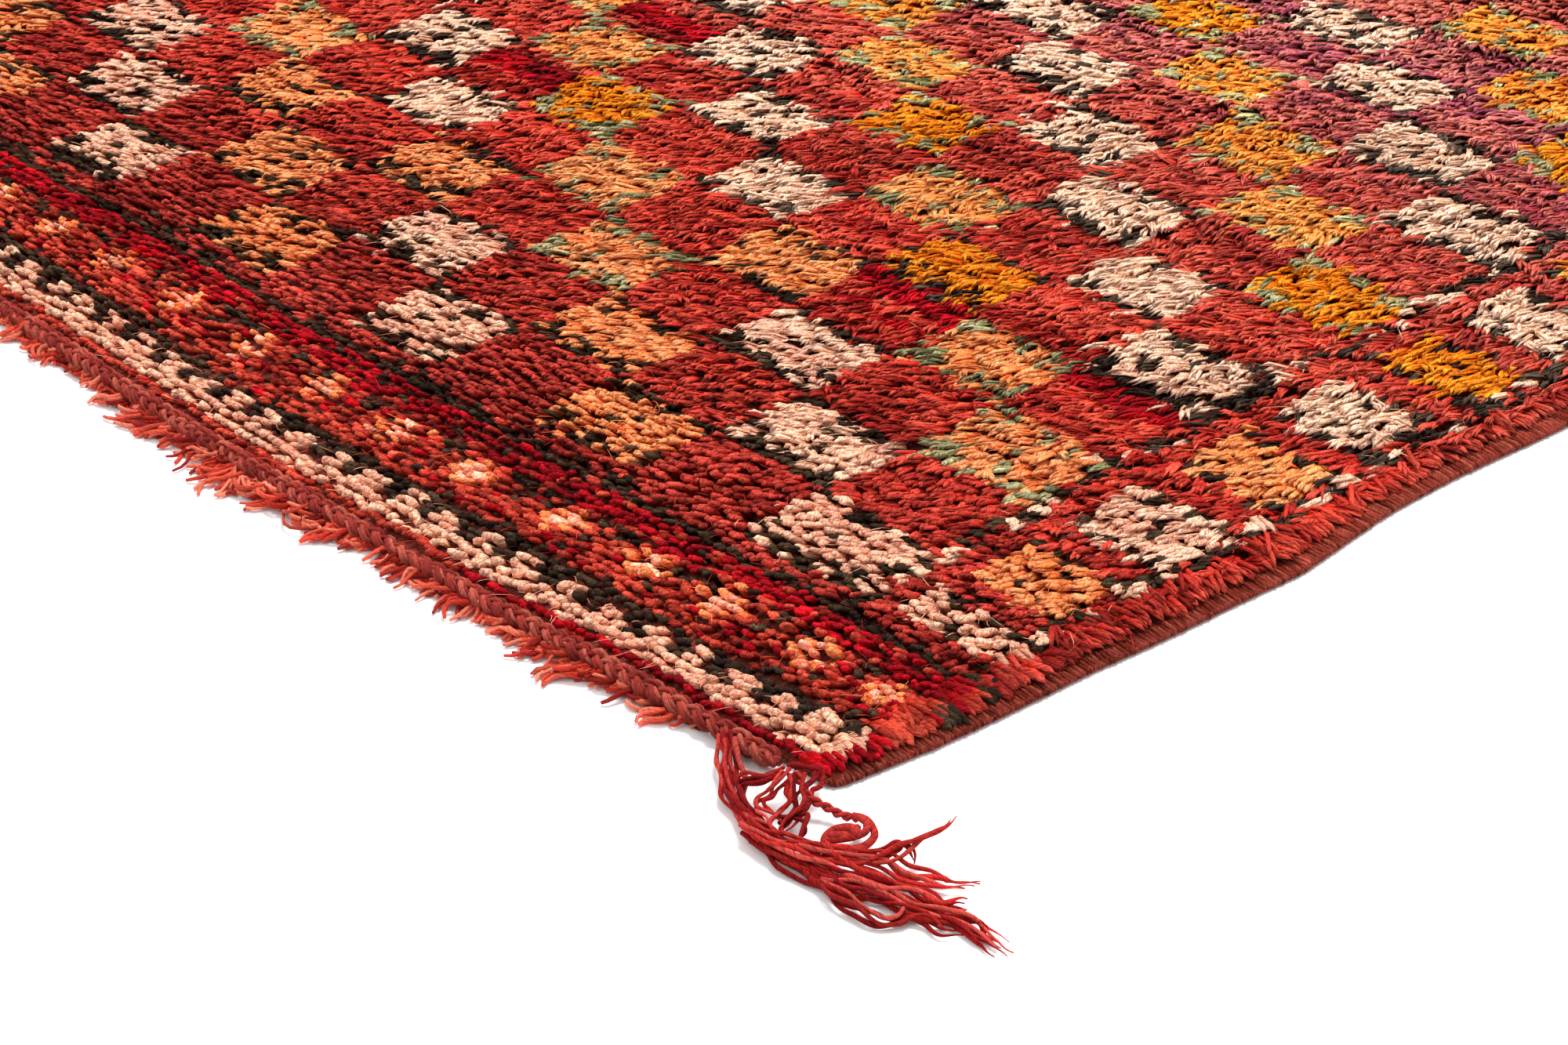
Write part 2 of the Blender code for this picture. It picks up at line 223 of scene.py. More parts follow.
@dataclass(frozen=True)
class SpunWool:
    """Hand-spun wool yarn: soft, matt, with fine fibres that wind round it.

    Each strand's colour is in the mesh attribute "dye": its dye together with the painted shade and painted
    light that the pieces add. The attribute "fibre" runs round and along the strand, so that the fibres turn
    with the yarn's twist.
    """

    name: str
    fibre_contrast: float
    fibres_round: float
    twist_per_m: float
    fleck_mm: float
    bump_mm: float
    sheen: float
    roughness: float = 0.92

    def material(self) -> bpy.types.Material:
        """Make the material.

        Returns:
            The material with its nodes.
        """
        nodes = Nodes(self.name)
        dye = nodes.add("Attribute", {"attribute_name": "dye"})
        fibre = nodes.add("Attribute", {"attribute_name": "fibre"})
        parts = nodes.add("SeparateXYZ", {}, {0: fibre.outputs["Vector"]})
        twist = {"operation": "MULTIPLY", 1: self.twist_per_m * FULL_TURN}
        turn = nodes.add("Math", twist, {0: parts.outputs["Z"]})
        turned = {"Vector": fibre.outputs["Vector"], "Angle": turn.outputs[0]}
        wound = nodes.add("VectorRotate", {"rotation_type": "Z_AXIS"}, turned)
        scale = (self.fibres_round, self.fibres_round, 1000.0 / self.fleck_mm)
        spread = nodes.add("Mapping", {"Scale": scale}, {"Vector": wound.outputs[0]})
        grain = {"Scale": 1.0, "Detail": 2.0, "Roughness": 0.6}
        streaks = nodes.add("TexNoise", grain, {"Vector": spread.outputs[0]})
        low, high = 1.0 - self.fibre_contrast, 1.0 + self.fibre_contrast
        contrast = {"From Min": 0.34, "From Max": 0.66, "To Min": low, "To Max": high}
        shade = nodes.add("MapRange", contrast, {"Value": streaks.outputs[0]})
        shaded = {0: dye.outputs["Color"], "Scale": shade.outputs[0]}
        coloured = nodes.add("VectorMath", {"operation": "SCALE"}, shaded)
        relief = {"Strength": 0.8, "Distance": self.bump_mm / 1000.0}
        bump = nodes.add("Bump", relief, {"Height": streaks.outputs[0]})
        nodes.dress(
            nodes.shader,
            {
                "Roughness": self.roughness,
                "Specular IOR Level": 0.08,
                "Sheen Weight": self.sheen,
                "Sheen Roughness": 0.4,
            },
            {
                "Base Color": coloured.outputs[0],
                "Sheen Tint": coloured.outputs[0],
                "Normal": bump.outputs[0],
            },
        )
        return nodes.material


@dataclass(frozen=True)
class WovenWool:
    """Tightly packed wool weft over hidden warps: fine ribs with a short nap, a dull brick red."""

    name: str
    thread: str
    shadow: str
    weft_mm: float
    warp_mm: float

    def bands(self, pitch_mm: float) -> float:
        """Return the wave texture's scale for bands of a pitch."""
        return 2.0 * math.pi / (20.0 * pitch_mm / 1000.0)

    def material(self) -> bpy.types.Material:
        """Make the material from Object coordinates, which are the rug's own metres.

        Returns:
            The material with its nodes.
        """
        nodes = Nodes(self.name)
        metres = {"Vector": nodes.add("TexCoord", {}).outputs["Object"]}
        fine = {"bands_direction": "Y", "Scale": self.bands(self.weft_mm)}
        wefts = nodes.add("TexWave", fine | {"Distortion": 1.6, "Detail": 1.0, "Detail Scale": 2.0}, metres)
        broad = {"bands_direction": "X", "Scale": self.bands(self.warp_mm)}
        warps = nodes.add("TexWave", broad | {"Distortion": 0.6}, metres)
        nap = nodes.add("TexNoise", {"Scale": 900.0, "Detail": 3.0, "Roughness": 0.7}, metres)
        ribs = {0: warps.outputs["Fac"], 2: wefts.outputs["Fac"]}
        weave = nodes.add("Math", {"operation": "MULTIPLY_ADD", 1: 0.5}, ribs)
        fuzz = {0: nap.outputs[0], 2: weave.outputs[0]}
        height = nodes.add("Math", {"operation": "MULTIPLY_ADD", 1: 0.8}, fuzz)
        tone = nodes.add("MapRange", {"From Min": 0.5, "From Max": 1.7}, {"Value": height.outputs[0]})
        deep, light = (*linear(self.shadow), 1.0), (*linear(self.thread), 1.0)
        mixed = {"data_type": "RGBA", "A": deep, "B": light}
        colour = nodes.add("Mix", mixed, {"Factor": tone.outputs[0]})
        bump = nodes.add("Bump", {"Strength": 0.7, "Distance": 0.0006}, {"Height": height.outputs[0]})
        nodes.dress(
            nodes.shader,
            {"Roughness": 0.95, "Specular IOR Level": 0.1, "Sheen Weight": 0.08},
            {"Base Color": colour.outputs["Result"], "Normal": bump.outputs[0]},
        )
        return nodes.material


@dataclass(frozen=True)
class StudioPaper:
    """Seamless white studio paper: plain and matt."""

    name: str = "studio paper"
    tone: str = "#fcfcfc"

    def material(self) -> bpy.types.Material:
        """Make the material with a trace of paper grain.

        Returns:
            The material with its nodes.
        """
        nodes = Nodes(self.name)
        metres = {"Vector": nodes.add("TexCoord", {}).outputs["Object"]}
        grain = nodes.add("TexNoise", {"Scale": 300.0, "Detail": 2.0}, metres)
        bump = nodes.add("Bump", {"Strength": 0.05, "Distance": 0.0002}, {"Height": grain.outputs[0]})
        tone = (*linear(self.tone), 1.0)
        plain = {"Base Color": tone, "Roughness": 1.0, "Specular IOR Level": 0.0}
        nodes.dress(nodes.shader, plain, {"Normal": bump.outputs[0]})
        return nodes.material


# Dyes


class Yarn(Enum):
    """The dyed yarns of the pile."""

    RED = 0
    CRIMSON = 1
    BRICK = 2
    CREAM = 3
    ORANGE = 4
    AMBER = 5
    GREEN = 6
    BLACK = 7
    STAR_ORANGE = 8
    STAR_PINK = 9


@dataclass(frozen=True)
class Dye:
    """A home dye that took unevenly: a deep and a light tone, read at rows along the rug.

    Each step is the distance from the plaited end in metres, the deep tone and the light tone.
    """

    steps: tuple[tuple[float, str, str], ...]
    spread: float = 0.18

    def tones(self, along: Array, share: Array) -> Array:
        """Mix the dye.

        Args:
            along: Distances from the plaited end.
            share: The light tone's share, from 0 to 1.

        Returns:
            Linear colours, a row for each place.
        """
        places = [step[0] for step in self.steps]
        deep = np.array([linear(step[1]) for step in self.steps])
        light = np.array([linear(step[2]) for step in self.steps])
        mixed = np.empty((len(along), 3))
        for channel in range(3):
            low = np.interp(along, places, deep[:, channel])
            high = np.interp(along, places, light[:, channel])
            mixed[:, channel] = low + (high - low) * share
        return mixed


DYES: dict[Yarn, Dye] = {
    Yarn.RED: Dye(
        (
            (0.11, "#7e221c", "#b64236"),
            (0.20, "#84201a", "#be4234"),
            (0.28, "#98241d", "#d04c3a"),
            (0.36, "#9e251e", "#d8523e"),
            (0.50, "#9e2f28", "#d65c48"),
            (0.62, "#a03c36", "#d86854"),
            (0.70, "#98444e", "#d67868"),
            (0.80, "#94445a", "#d68274"),
            (0.90, "#a04a42", "#da7864"),
            (1.30, "#922e26", "#ca5642"),
            (1.70, "#802820", "#bc4838"),
        )
    ),
    Yarn.CRIMSON: Dye(((0.0, "#740610", "#b40e1c"),), 0.2),
    Yarn.BRICK: Dye(((0.0, "#8c281e", "#c84c38"),), 0.2),
    Yarn.CREAM: Dye(
        (
            (0.10, "#d6947a", "#e8b698"),
            (0.30, "#dfa48a", "#eec2a6"),
            (0.42, "#e4b69a", "#efc8ac"),
            (0.80, "#e8bea2", "#f3ceb4"),
        ),
        0.06,
    ),
    Yarn.ORANGE: Dye(
        (
            (0.10, "#cc6a3a", "#ea925e"),
            (0.28, "#dc7c46", "#f2a06a"),
            (0.50, "#de8a48", "#f1ad69"),
            (0.65, "#e38630", "#f6a94a"),
        ),
        0.08,
    ),
    Yarn.AMBER: Dye(((0.30, "#c05e08", "#de821c"), (0.55, "#da7a10", "#f29c28")), 0.10),
    Yarn.GREEN: Dye(((0.35, "#6c6a4a", "#9c9670"), (0.65, "#88845c", "#bab286"))),
    Yarn.BLACK: Dye(
        (
            (0.0, "#261b15", "#463529"),
            (0.14, "#20170f", "#40301f"),
            (0.30, "#221812", "#45362a"),
            (0.7, "#2a211b", "#54473c"),
        ),
        0.2,
    ),
    Yarn.STAR_ORANGE: Dye(((0.0, "#dc6c3a", "#ee8c58"),)),
    Yarn.STAR_PINK: Dye(((0.0, "#e4886a", "#f2ac8e"),)),
}

# Small repeats, charted a letter a knot, the far side on top
LETTERS = {"B": Yarn.BLACK, "G": Yarn.GREEN, "O": Yarn.STAR_ORANGE, "P": Yarn.STAR_PINK, "C": Yarn.CRIMSON}

BLACK_CHECKS = (
    (
        ".BB..BBBB.BB",
        "B.....BB....",
        "............",
        "............",
        "......B.....",
        ".....B......",
        "...........B",
        "B..B......B.",
        ".BB..BB.BB..",
        "BBB.BBB.B.BB",
    ),
    (
        "BBBB.BB..BBB",
        "B......B...B",
        ".....B......",
        "............",
        "............",
        ".....B.....B",
        "............",
        "..B.....B...",
        "BB...BB..BB.",
        ".B.BBBB.B.BB",
    ),
    (
        "B.BB..BB..BB",
        "B..B..B....B",
        "............",
        "......B.....",
        "............",
        "....B.......",
        "....B......B",
        ".B.......B..",
        "BB...BB..B.B",
        ".BB.BBBB.B.B",
    ),
)
GREEN_CHECKS = (
    (
        "GGG..GG..GGG",
        "G.G..G...GG.",
        "..G........G",
        "............",
        ".....G......",
        "............",
        "G....G.....G",
        "GG..G....GG.",
        "GGG.G...GGGG",
        ".GG...G.GG.G",
    ),
    (
        "GGG.G...GG.G",
        ".GG.....GGG.",
        "..G......G..",
        "............",
        "............",
        "G..........G",
        "............",
        "G...G.....G.",
        ".G...G.G.G..",
        "GG..GG.G..GG",
    ),
)
SELVEDGE_CELLS = (
    (
        "BB.BB.B.B",
        "B....B...",
        "....B....",
        ".........",
        ".........",
        ".....B...",
        "..B......",
        "B......B.",
        "BB.BB..BB",
    ),
    (
        "B.BB.BBB.",
        "......B..",
        ".........",
        "....B....",
        "...B.....",
        ".........",
        ".........",
        "B....B..B",
        "BB.B.BB.B",
    ),
)
STAR = (
    "..O..",
    ".OPO.",
    "OPPPO",
    ".OPO.",
    "..O..",
)


@dataclass(frozen=True)
class Knots:
    """The knots of the whole rug, a value for each."""

    x: Array
    y: Array
    yarn: Array
    tone: Array


# Layout


@dataclass
class RugLayout:
    """The rug's outline, pile height and knot grid, with the sizes that the solids have."""

    half_width: float = 0.6025
    half_length: float = 0.903
    web_height: float = 0.0032
    border_pile: float = 0.0105
    field_pile: float = 0.0130
    foot_pile: float = 0.0085
    pile_lump: float = 0.0042
    knot_width: float = 0.00625
    knot_length: float = 0.0061
    columns: int = 192
    rows: int = 294
    bare_selvedge: float = 0.0085
    right_selvedge: Table = (
        (0.0, -0.020), (0.055, -0.012), (0.110, -0.008), (0.170, -0.005), (0.205, -0.001), (0.250, 0.002),
        (0.300, 0.006), (0.370, 0.0), (0.420, 0.001), (0.500, 0.008), (0.800, 0.001), (1.200, 0.005),
        (1.806, -0.003),
    )
    left_selvedge: Table = (
        (0.0, -0.008), (0.350, 0.004), (0.800, -0.003), (1.300, 0.005), (1.806, -0.002),
    )
    plaited_end: Table = (
        (-0.605, 0.008), (-0.300, 0.003), (0.0, 0.001), (0.150, -0.001), (0.230, 0.001), (0.300, 0.005),
        (0.380, 0.008), (0.455, 0.014), (0.525, 0.018), (0.605, 0.020),
    )
    view_corners: Table = (
        (-0.045, -0.9195), (-0.425, -0.680), (0.297, 0.090), (0.640, -0.385),
    )

    def drifted(self, x: Array, y: Array) -> tuple[Array, Array]:
        """Move places of the true rectangle to the hand-made rug's wavy outline."""
        along = y + self.half_length
        wave = np.where(x > 0, read(self.right_selvedge, along), read(self.left_selvedge, along))
        outward = wave * smooth(1.0 - (self.half_width - np.abs(x)) / 0.09)
        inward = read(self.plaited_end, x) * smooth(1.0 - along / 0.20)
        return x + np.sign(x) * outward, y + inward

    def pile_top(self, x: Array, y: Array) -> Array:
        """Return the pile's height: short at the start border, lumpy, lower at the rim."""
        along = y + self.half_length
        height = self.border_pile + (self.field_pile - self.border_pile) * smooth(along / 0.16)
        broad = ripple(x, y, 0.12, 0.055, 0.5)
        fine = ripple(x, y, 0.12 / 2.3, 0.055 / 2.3, 4.5)
        height = height + self.pile_lump * (broad + 0.6 * fine)
        from_rim = np.minimum(self.half_width - np.abs(x), np.minimum(along, self.half_length - y))
        return self.foot_pile + (height - self.foot_pile) * smooth((from_rim - 0.006) / 0.018)

    def in_view(self, x: Array, y: Array) -> Array:
        """Tell which places of the rug the photograph looks at."""
        inside = np.ones(len(x), bool)
        for (ax, ay), (bx, by) in zip(self.view_corners, self.view_corners[1:]):
            inside &= (bx - ax) * (y - ay) - (by - ay) * (x - ax) < 0
        return inside

    def depth(self, x: Array, y: Array) -> Array:
        """Return how far places lie behind the near corner, as the photograph looks."""
        return (self.half_width - x) * 0.730 + (y + self.half_length) * 0.683

    def knot_grid(self) -> tuple[Array, Array]:
        """Return the knots' places on the true rectangle, rows by columns, from the right selvedge."""
        columns = self.half_width - 0.0029 - (np.arange(self.columns) + 0.5) * self.knot_width
        rows = -self.half_length + 0.0052 + np.arange(self.rows) * self.knot_length
        return np.meshgrid(columns, rows)


@dataclass
class KnotChart:
    """Which yarn each knot has: side columns of cells, a border of stars, and a field of checks.

    Places of cells and stars are counted in check widths from the first check's middle, and pairs of whole
    numbers name a check by its column and row.
    """

    layout: RugLayout
    field_start: int = 19
    field_left: int = 18
    check_columns: int = 13
    check_rows: int = 26
    check_wide: int = 12
    check_long: int = 10
    irregular_orange: tuple[tuple[int, int], ...] = ((7, 2), (4, 3))
    black_orange: tuple[tuple[int, int], ...] = ((7, 2), (9, 2), (4, 3), (3, 4))
    amber_rows: tuple[int, ...] = (4, 10, *range(14, 26, 4))
    amber_checks: tuple[tuple[int, int], ...] = ((1, 6), (5, 6))
    crimson_bands: tuple[tuple[int, int, int], ...] = (
        (1, 37, 40), (3, 37, 41), (3, 34, 35), (8, 62, 66), (8, 44, 48),
    )
    star_places: tuple[float, ...] = (-0.50, 0.18, 0.96, 1.63, 2.40, 3.26, 4.02, 4.90, 5.70, 6.56, 7.46, 8.21)
    star_pitch: float = 0.80
    stars_to: float = 14.0
    star_glow: float = 0.7
    turned_checks: float = 0.4
    dark_spread: float = 0.30
    stray_share: float = 0.03
    first_middle: float = 0.4065
    row_length: float = 0.0813
    cells: tuple[tuple[float, float, Yarn], ...] = (
        (-0.36, 0.06, Yarn.CREAM),
        (0.32, 1.00, Yarn.ORANGE),
        (1.23, 1.95, Yarn.CREAM),
        (2.30, 3.00, Yarn.ORANGE),
        (3.25, 3.95, Yarn.CREAM),
        (4.30, 5.10, Yarn.AMBER),
        (5.30, 6.10, Yarn.CREAM),
    )
    cells_from: float = 6.35
    cells_to: float = 20.4
    cell_pitch: float = 1.05
    cell_long: float = 0.78
    cell_columns: tuple[int, int] = (5, 14)
    line_columns: tuple[int, ...] = (3, 4, 16, 17)
    line_dark: float = 0.52
    line_pale: float = 0.45
    tooth_pitch: float = 0.372
    start_crimson: float = 2.4
    crimson_rows: Table = ((13, 0.40), (14, 0.80), (15, 0.85))
    crimson_else: float = 0.10
    speck_rows: Table = ((6, 0.08), (11, 0.10), (12, 0.20), (13, 0.10))
    speck_else: float = 0.03
    thick_line: float = 0.16
    seed: int = 11
    grid: Array = field(init=False)
    rng: np.random.Generator = field(init=False)

    def __post_init__(self) -> None:
        """Start with plain red knots."""
        self.grid = np.full((self.layout.rows, self.layout.columns), Yarn.RED.value)
        self.rng = np.random.default_rng(self.seed)

    def lay(self, row: int, columns: Sequence[int], chart: Sequence[str], ground: Yarn | None = None) -> None:
        """Knot a small chart into the grid, as far as it fits.

        Args:
            row: The chart's nearest row.
            columns: The grid's column for each of the chart's own.
            chart: Its rows, the far side first.
            ground: The yarn of the dots, or None to leave those knots as they are.
        """
        rows, width = self.grid.shape
        for number, line in enumerate(reversed(chart), row):
            for column, letter in zip(columns, line):
                yarn = LETTERS.get(letter, ground)
                if yarn is not None and number < rows and 0 <= column < width:
                    self.grid[number, column] = yarn.value

    def one_of(self, charts: Sequence[Sequence[str]]) -> Sequence[str]:
        """Pick one of a weaver's versions of a small chart."""
        return charts[self.rng.integers(len(charts))]

    def checks(self) -> None:
        """Knot the field: every other check is red, some with a crimson band, the rest cream or warm."""
        for i in range(1, self.check_columns + 1):
            columns = self.field_left + (i - 1) * self.check_wide + np.arange(self.check_wide)
            for j in range(self.check_rows):
                if (i + j) % 2 == 0:
                    continue
                pale = ((11 - i + j) // 2) % 2 == 1 and (i, j) not in self.irregular_orange
                amber = j in self.amber_rows or (i, j) in self.amber_checks
                warm = Yarn.AMBER if amber else Yarn.ORANGE
                green = not pale and j >= 2 and (i, j) not in self.black_orange
                chart = self.one_of(GREEN_CHECKS if green else BLACK_CHECKS)
                turned = columns[::-1] if self.rng.random() < self.turned_checks else columns
                row = self.field_start + j * self.check_long
                self.lay(row, turned, chart, Yarn.CREAM if pale else warm)
        for i, low, high in self.crimson_bands:
            left = self.field_left + (i - 1) * self.check_wide
            band = self.grid[self.field_start + low : self.field_start + high, left : left + self.check_wide]
            band[band == Yarn.RED.value] = Yarn.CRIMSON.value

    def widen_dark(self) -> None:
        """Let dark wool spread beside the dark corners of the pale checks."""
        dark = self.grid == Yarn.BLACK.value
        beside = np.zeros_like(dark)
        beside[:, 1:] |= dark[:, :-1]
        beside[:, :-1] |= dark[:, 1:]
        picked = self.rng.random(self.grid.shape) < self.dark_spread
        picked[: self.field_start] = False
        pale = (self.grid == Yarn.CREAM.value) | (self.grid == Yarn.ORANGE.value)
        self.grid[beside & picked & pale] = Yarn.BLACK.value

    def row_at(self, checks: float) -> int:
        """Return the row at a distance in check widths from the first check's middle."""
        return round(self.field_start + (checks + self.first_middle) / self.row_length)

    def side(self, columns: Array) -> None:
        """Knot one side border: framed cells between two broken lines.

        Args:
            columns: The border's columns in order, from the selvedge to the field.
        """
        rows = self.layout.rows
        cells = list(self.cells)
        start = self.cells_from
        while start < self.cells_to:
            cells.append((start, start + self.cell_long, Yarn.ORANGE if len(cells) % 2 else Yarn.CREAM))
            start += self.cell_pitch
        for column in self.line_columns:
            dark = self.rng.random(rows) < self.line_dark
            pale = self.rng.random(rows) < self.line_pale
            line = np.where(dark, Yarn.BLACK.value, np.where(pale, Yarn.CREAM.value, Yarn.RED.value))
            self.grid[self.field_start - 2 :, columns[column]] = line[self.field_start - 2 :]
        for low, high, ground in cells:
            first, last = self.row_at(low), min(self.row_at(high), rows - self.field_left)
            if last - first < 2:
                continue
            chart = self.one_of(SELVEDGE_CELLS)[: max(2, last - first)]
            self.lay(first, columns[slice(*self.cell_columns)], chart, ground)

    def bands(self) -> None:
        """Knot the two end borders, each a row of stars between black lines and a toothed cream band."""
        across = (np.arange(self.layout.columns) + 0.5) / self.check_wide - 1.0
        tooth = (across / self.tooth_pitch) % 1.0
        for near in (True, False):
            plan = [
                (0, np.where(across < self.start_crimson, Yarn.CRIMSON.value, Yarn.BRICK.value)),
                (1, Yarn.CREAM.value),
                (2, Yarn.CREAM.value),
                (3, np.where(tooth < 0.46, Yarn.BLACK.value, Yarn.CREAM.value)),
                (4, np.where((tooth > 0.04) & (tooth < 0.52), Yarn.BLACK.value, Yarn.CREAM.value)),
                (5, Yarn.BLACK.value),
            ]
            for offset, yarns in plan:
                self.grid[self.end_row(offset, near)] = yarns
            for offset in range(6, 16):
                crimson = dict(self.crimson_rows).get(offset, self.crimson_else)
                specks = dict(self.speck_rows).get(offset, self.speck_else)
                pick = self.rng.random(self.layout.columns)
                line = np.where(pick < crimson, Yarn.CRIMSON.value, Yarn.BRICK.value)
                line = np.where(pick > 1.0 - specks, Yarn.BLACK.value, line)
                self.grid[self.end_row(offset, near)] = line
            self.grid[self.end_row(16, near)] = Yarn.BLACK.value
            thick = self.rng.random(self.layout.columns) < self.thick_line
            self.grid[self.end_row(17, near), thick] = Yarn.BLACK.value
            self.stars(near)

    def stars(self, near: bool) -> None:
        """Knot the stars of one end border, with dark specks and crimson between them."""
        places = list(self.star_places)
        while places[-1] < self.stars_to:
            places.append(places[-1] + self.star_pitch)
        for spot in places:
            column = round((spot + 1.0) * self.check_wide - 0.5) - 2
            first = min(self.end_row(8, near), self.end_row(7 + len(STAR), near))
            self.lay(first, column + np.arange(len(STAR)), STAR)
            for across, offset in ((-3, 11), (-3, 12), (-2, 12)):
                self.lay(self.end_row(offset, near), [column + across], "B")
            for across in range(-1, 6):
                fits = 0 <= column + across < self.layout.columns
                if fits and self.rng.random() < self.star_glow:
                    self.lay(self.end_row(13, near), [column + across], "C")

    def end_row(self, offset: int, near: bool) -> int:
        """Return a border row by its count from the rug's own end."""
        return offset if near else self.layout.rows - 1 - offset

    def stray(self) -> None:
        """Swap some knots with a neighbour, as a hand weaver miscounts."""
        rows, columns = self.grid.shape
        for _ in range(int(rows * columns * self.stray_share)):
            row = self.rng.integers(6, rows - 6)
            column = self.rng.integers(3, columns - 4)
            beside = (row + self.rng.integers(-1, 2), column + self.rng.integers(-1, 2))
            here = self.grid[row, column]
            self.grid[row, column] = self.grid[beside]
            self.grid[beside] = here

    def knots(self) -> Knots:
        """Chart the whole rug and dye its knots.

        Returns:
            The knots' places, yarns and colours.
        """
        self.checks()
        self.widen_dark()
        order = np.arange(self.layout.columns)
        self.side(order[: self.field_left])
        self.side(order[::-1][: self.field_left])
        self.bands()
        self.stray()
        for rows in (slice(0, 6), slice(-6, None)):
            rim = self.rng.random(self.grid[rows, :2].shape)
            dark = np.where(rim < 0.75, Yarn.CRIMSON.value, Yarn.BLACK.value)
            self.grid[rows, :2] = np.where(rim < 0.5, Yarn.RED.value, dark)
        x, y = self.layout.knot_grid()
        streak = ripple(x, y, 0.11, 0.011, 7.5) + 0.5 * ripple(x, y, 0.03, 0.02, 2.5)
        share = np.clip(0.52 + 0.75 * streak + self.rng.normal(0.0, 0.28, x.shape), 0.0, 1.0)
        tone = np.zeros((*x.shape, 3))
        for yarn, dye in DYES.items():
            here = self.grid == yarn.value
            mixed = dye.tones(y[here] + self.layout.half_length, share[here])
            jitter = np.exp(self.rng.normal(0.0, dye.spread, (len(mixed), 1)))
            tone[here] = mixed * jitter
        keep = np.abs(x) < self.layout.half_width - self.layout.bare_selvedge
        return Knots(x[keep], y[keep], self.grid[keep], tone[keep])


# Strands


@dataclass(frozen=True)
class Strand:
    """A plain strand of yarn, one metre long and one metre in radius, to be bent, thinned and repeated."""

    sides: int
    rings: Table
    root: float = 0.0
    tip: float = 1.0

    def shape(self) -> tuple[Array, Array, Array]:
        """Build the strand.

        Returns:
            Its points, the point of each face corner, and where each face's corners start.
        """
        bm = bmesh.new()
        bmesh.ops.create_circle(bm, cap_ends=True, segments=self.sides, radius=self.rings[0][1])
        bmesh.ops.translate(bm, verts=bm.verts, vec=(0.0, 0.0, self.rings[0][0]))
        face = bm.faces[:][0]
        bottom = bmesh.ops.duplicate(bm, geom=[face])["geom"]
        bottom = [item for item in bottom if isinstance(item, bmesh.types.BMFace)]
        for (low, thin), (high, wide) in zip(self.rings, self.rings[1:]):
            grown = bmesh.ops.extrude_face_region(bm, geom=[face])["geom"]
            bm.faces.remove(face)
            face = next(item for item in grown if isinstance(item, bmesh.types.BMFace))
            bmesh.ops.translate(bm, verts=face.verts, vec=(0.0, 0.0, high - low))
            for vert in face.verts:
                vert.co.xy *= wide / thin
        bmesh.ops.remove_doubles(bm, verts=bm.verts, dist=1e-6)
        ends = [item for item in (*bottom, face) if item.is_valid]
        for pole in bmesh.ops.poke(bm, faces=ends)["verts"]:
            at_root = pole.co.z < (self.rings[0][0] + 1e-6) and len(self.rings) > 1
            pole.co.z = self.root if at_root else self.tip
        bmesh.ops.recalc_face_normals(bm, faces=bm.faces)
        points = np.array([vert.co[:] for vert in bm.verts])
        corners = np.array([vert.index for each in bm.faces for vert in each.verts])
        sizes = np.array([len(each.verts) for each in bm.faces])
        bm.free()
        return points, corners, np.concatenate([[0], np.cumsum(sizes)[:-1]])


@dataclass
class YarnMesh:
    """A mesh of many yarns, joined from arrays."""

    name: str
    points: list[Array] = field(default_factory=list)
    corners: list[Array] = field(default_factory=list)
    starts: list[Array] = field(default_factory=list)
    dyes: list[Array] = field(default_factory=list)
    fibres: list[Array] = field(default_factory=list)
    count: int = 0
    loops: int = 0

    def add(self, points: Array, corners: Array, starts: Array, dye: Array, fibre: Array) -> None:
        """Add yarns.

        Args:
            points: Their points.
            corners: The point of each face corner.
            starts: Where each face's corners start.
            dye: A linear colour for each point.
            fibre: Each point's place round and along its yarn.
        """
        self.points.append(points)
        self.corners.append(corners + self.count)
        self.starts.append(starts + self.loops)
        self.dyes.append(dye)
        self.fibres.append(fibre)
        self.count += len(points)
        self.loops += len(corners)

    def build(self, material: bpy.types.Material) -> bpy.types.Object:
        """Make the object, at the origin.

        Args:
            material: The yarns' finish.

        Returns:
            The object.
        """
        points = np.concatenate(self.points)
        points[:, 2] = np.maximum(points[:, 2], FLOOR_GAP)
        corners = np.concatenate(self.corners)
        starts = np.concatenate(self.starts)
        mesh = bpy.data.meshes.new(self.name)
        mesh.vertices.add(len(points))
        mesh.vertices.foreach_set("co", points.astype(np.float32).ravel())
        mesh.loops.add(len(corners))
        mesh.loops.foreach_set("vertex_index", corners.astype(np.int32))
        mesh.polygons.add(len(starts))
        mesh.polygons.foreach_set("loop_start", starts.astype(np.int32))
        mesh.update(calc_edges=True)
        mesh.shade_smooth()
        dye = mesh.attributes.new("dye", "FLOAT_COLOR", "POINT")
        colours = np.concatenate([np.concatenate(self.dyes), np.ones((len(points), 1))], axis=1)
        dye.data.foreach_set("color", colours.astype(np.float32).ravel())
        fibre = mesh.attributes.new("fibre", "FLOAT_VECTOR", "POINT")
        fibre.data.foreach_set("vector", np.concatenate(self.fibres).astype(np.float32).ravel())
        mesh.materials.append(material)
        mesh.calc_loop_triangles()
        LOG.info("%s: %d triangles", self.name, len(mesh.loop_triangles))
        return place(self.name, mesh)


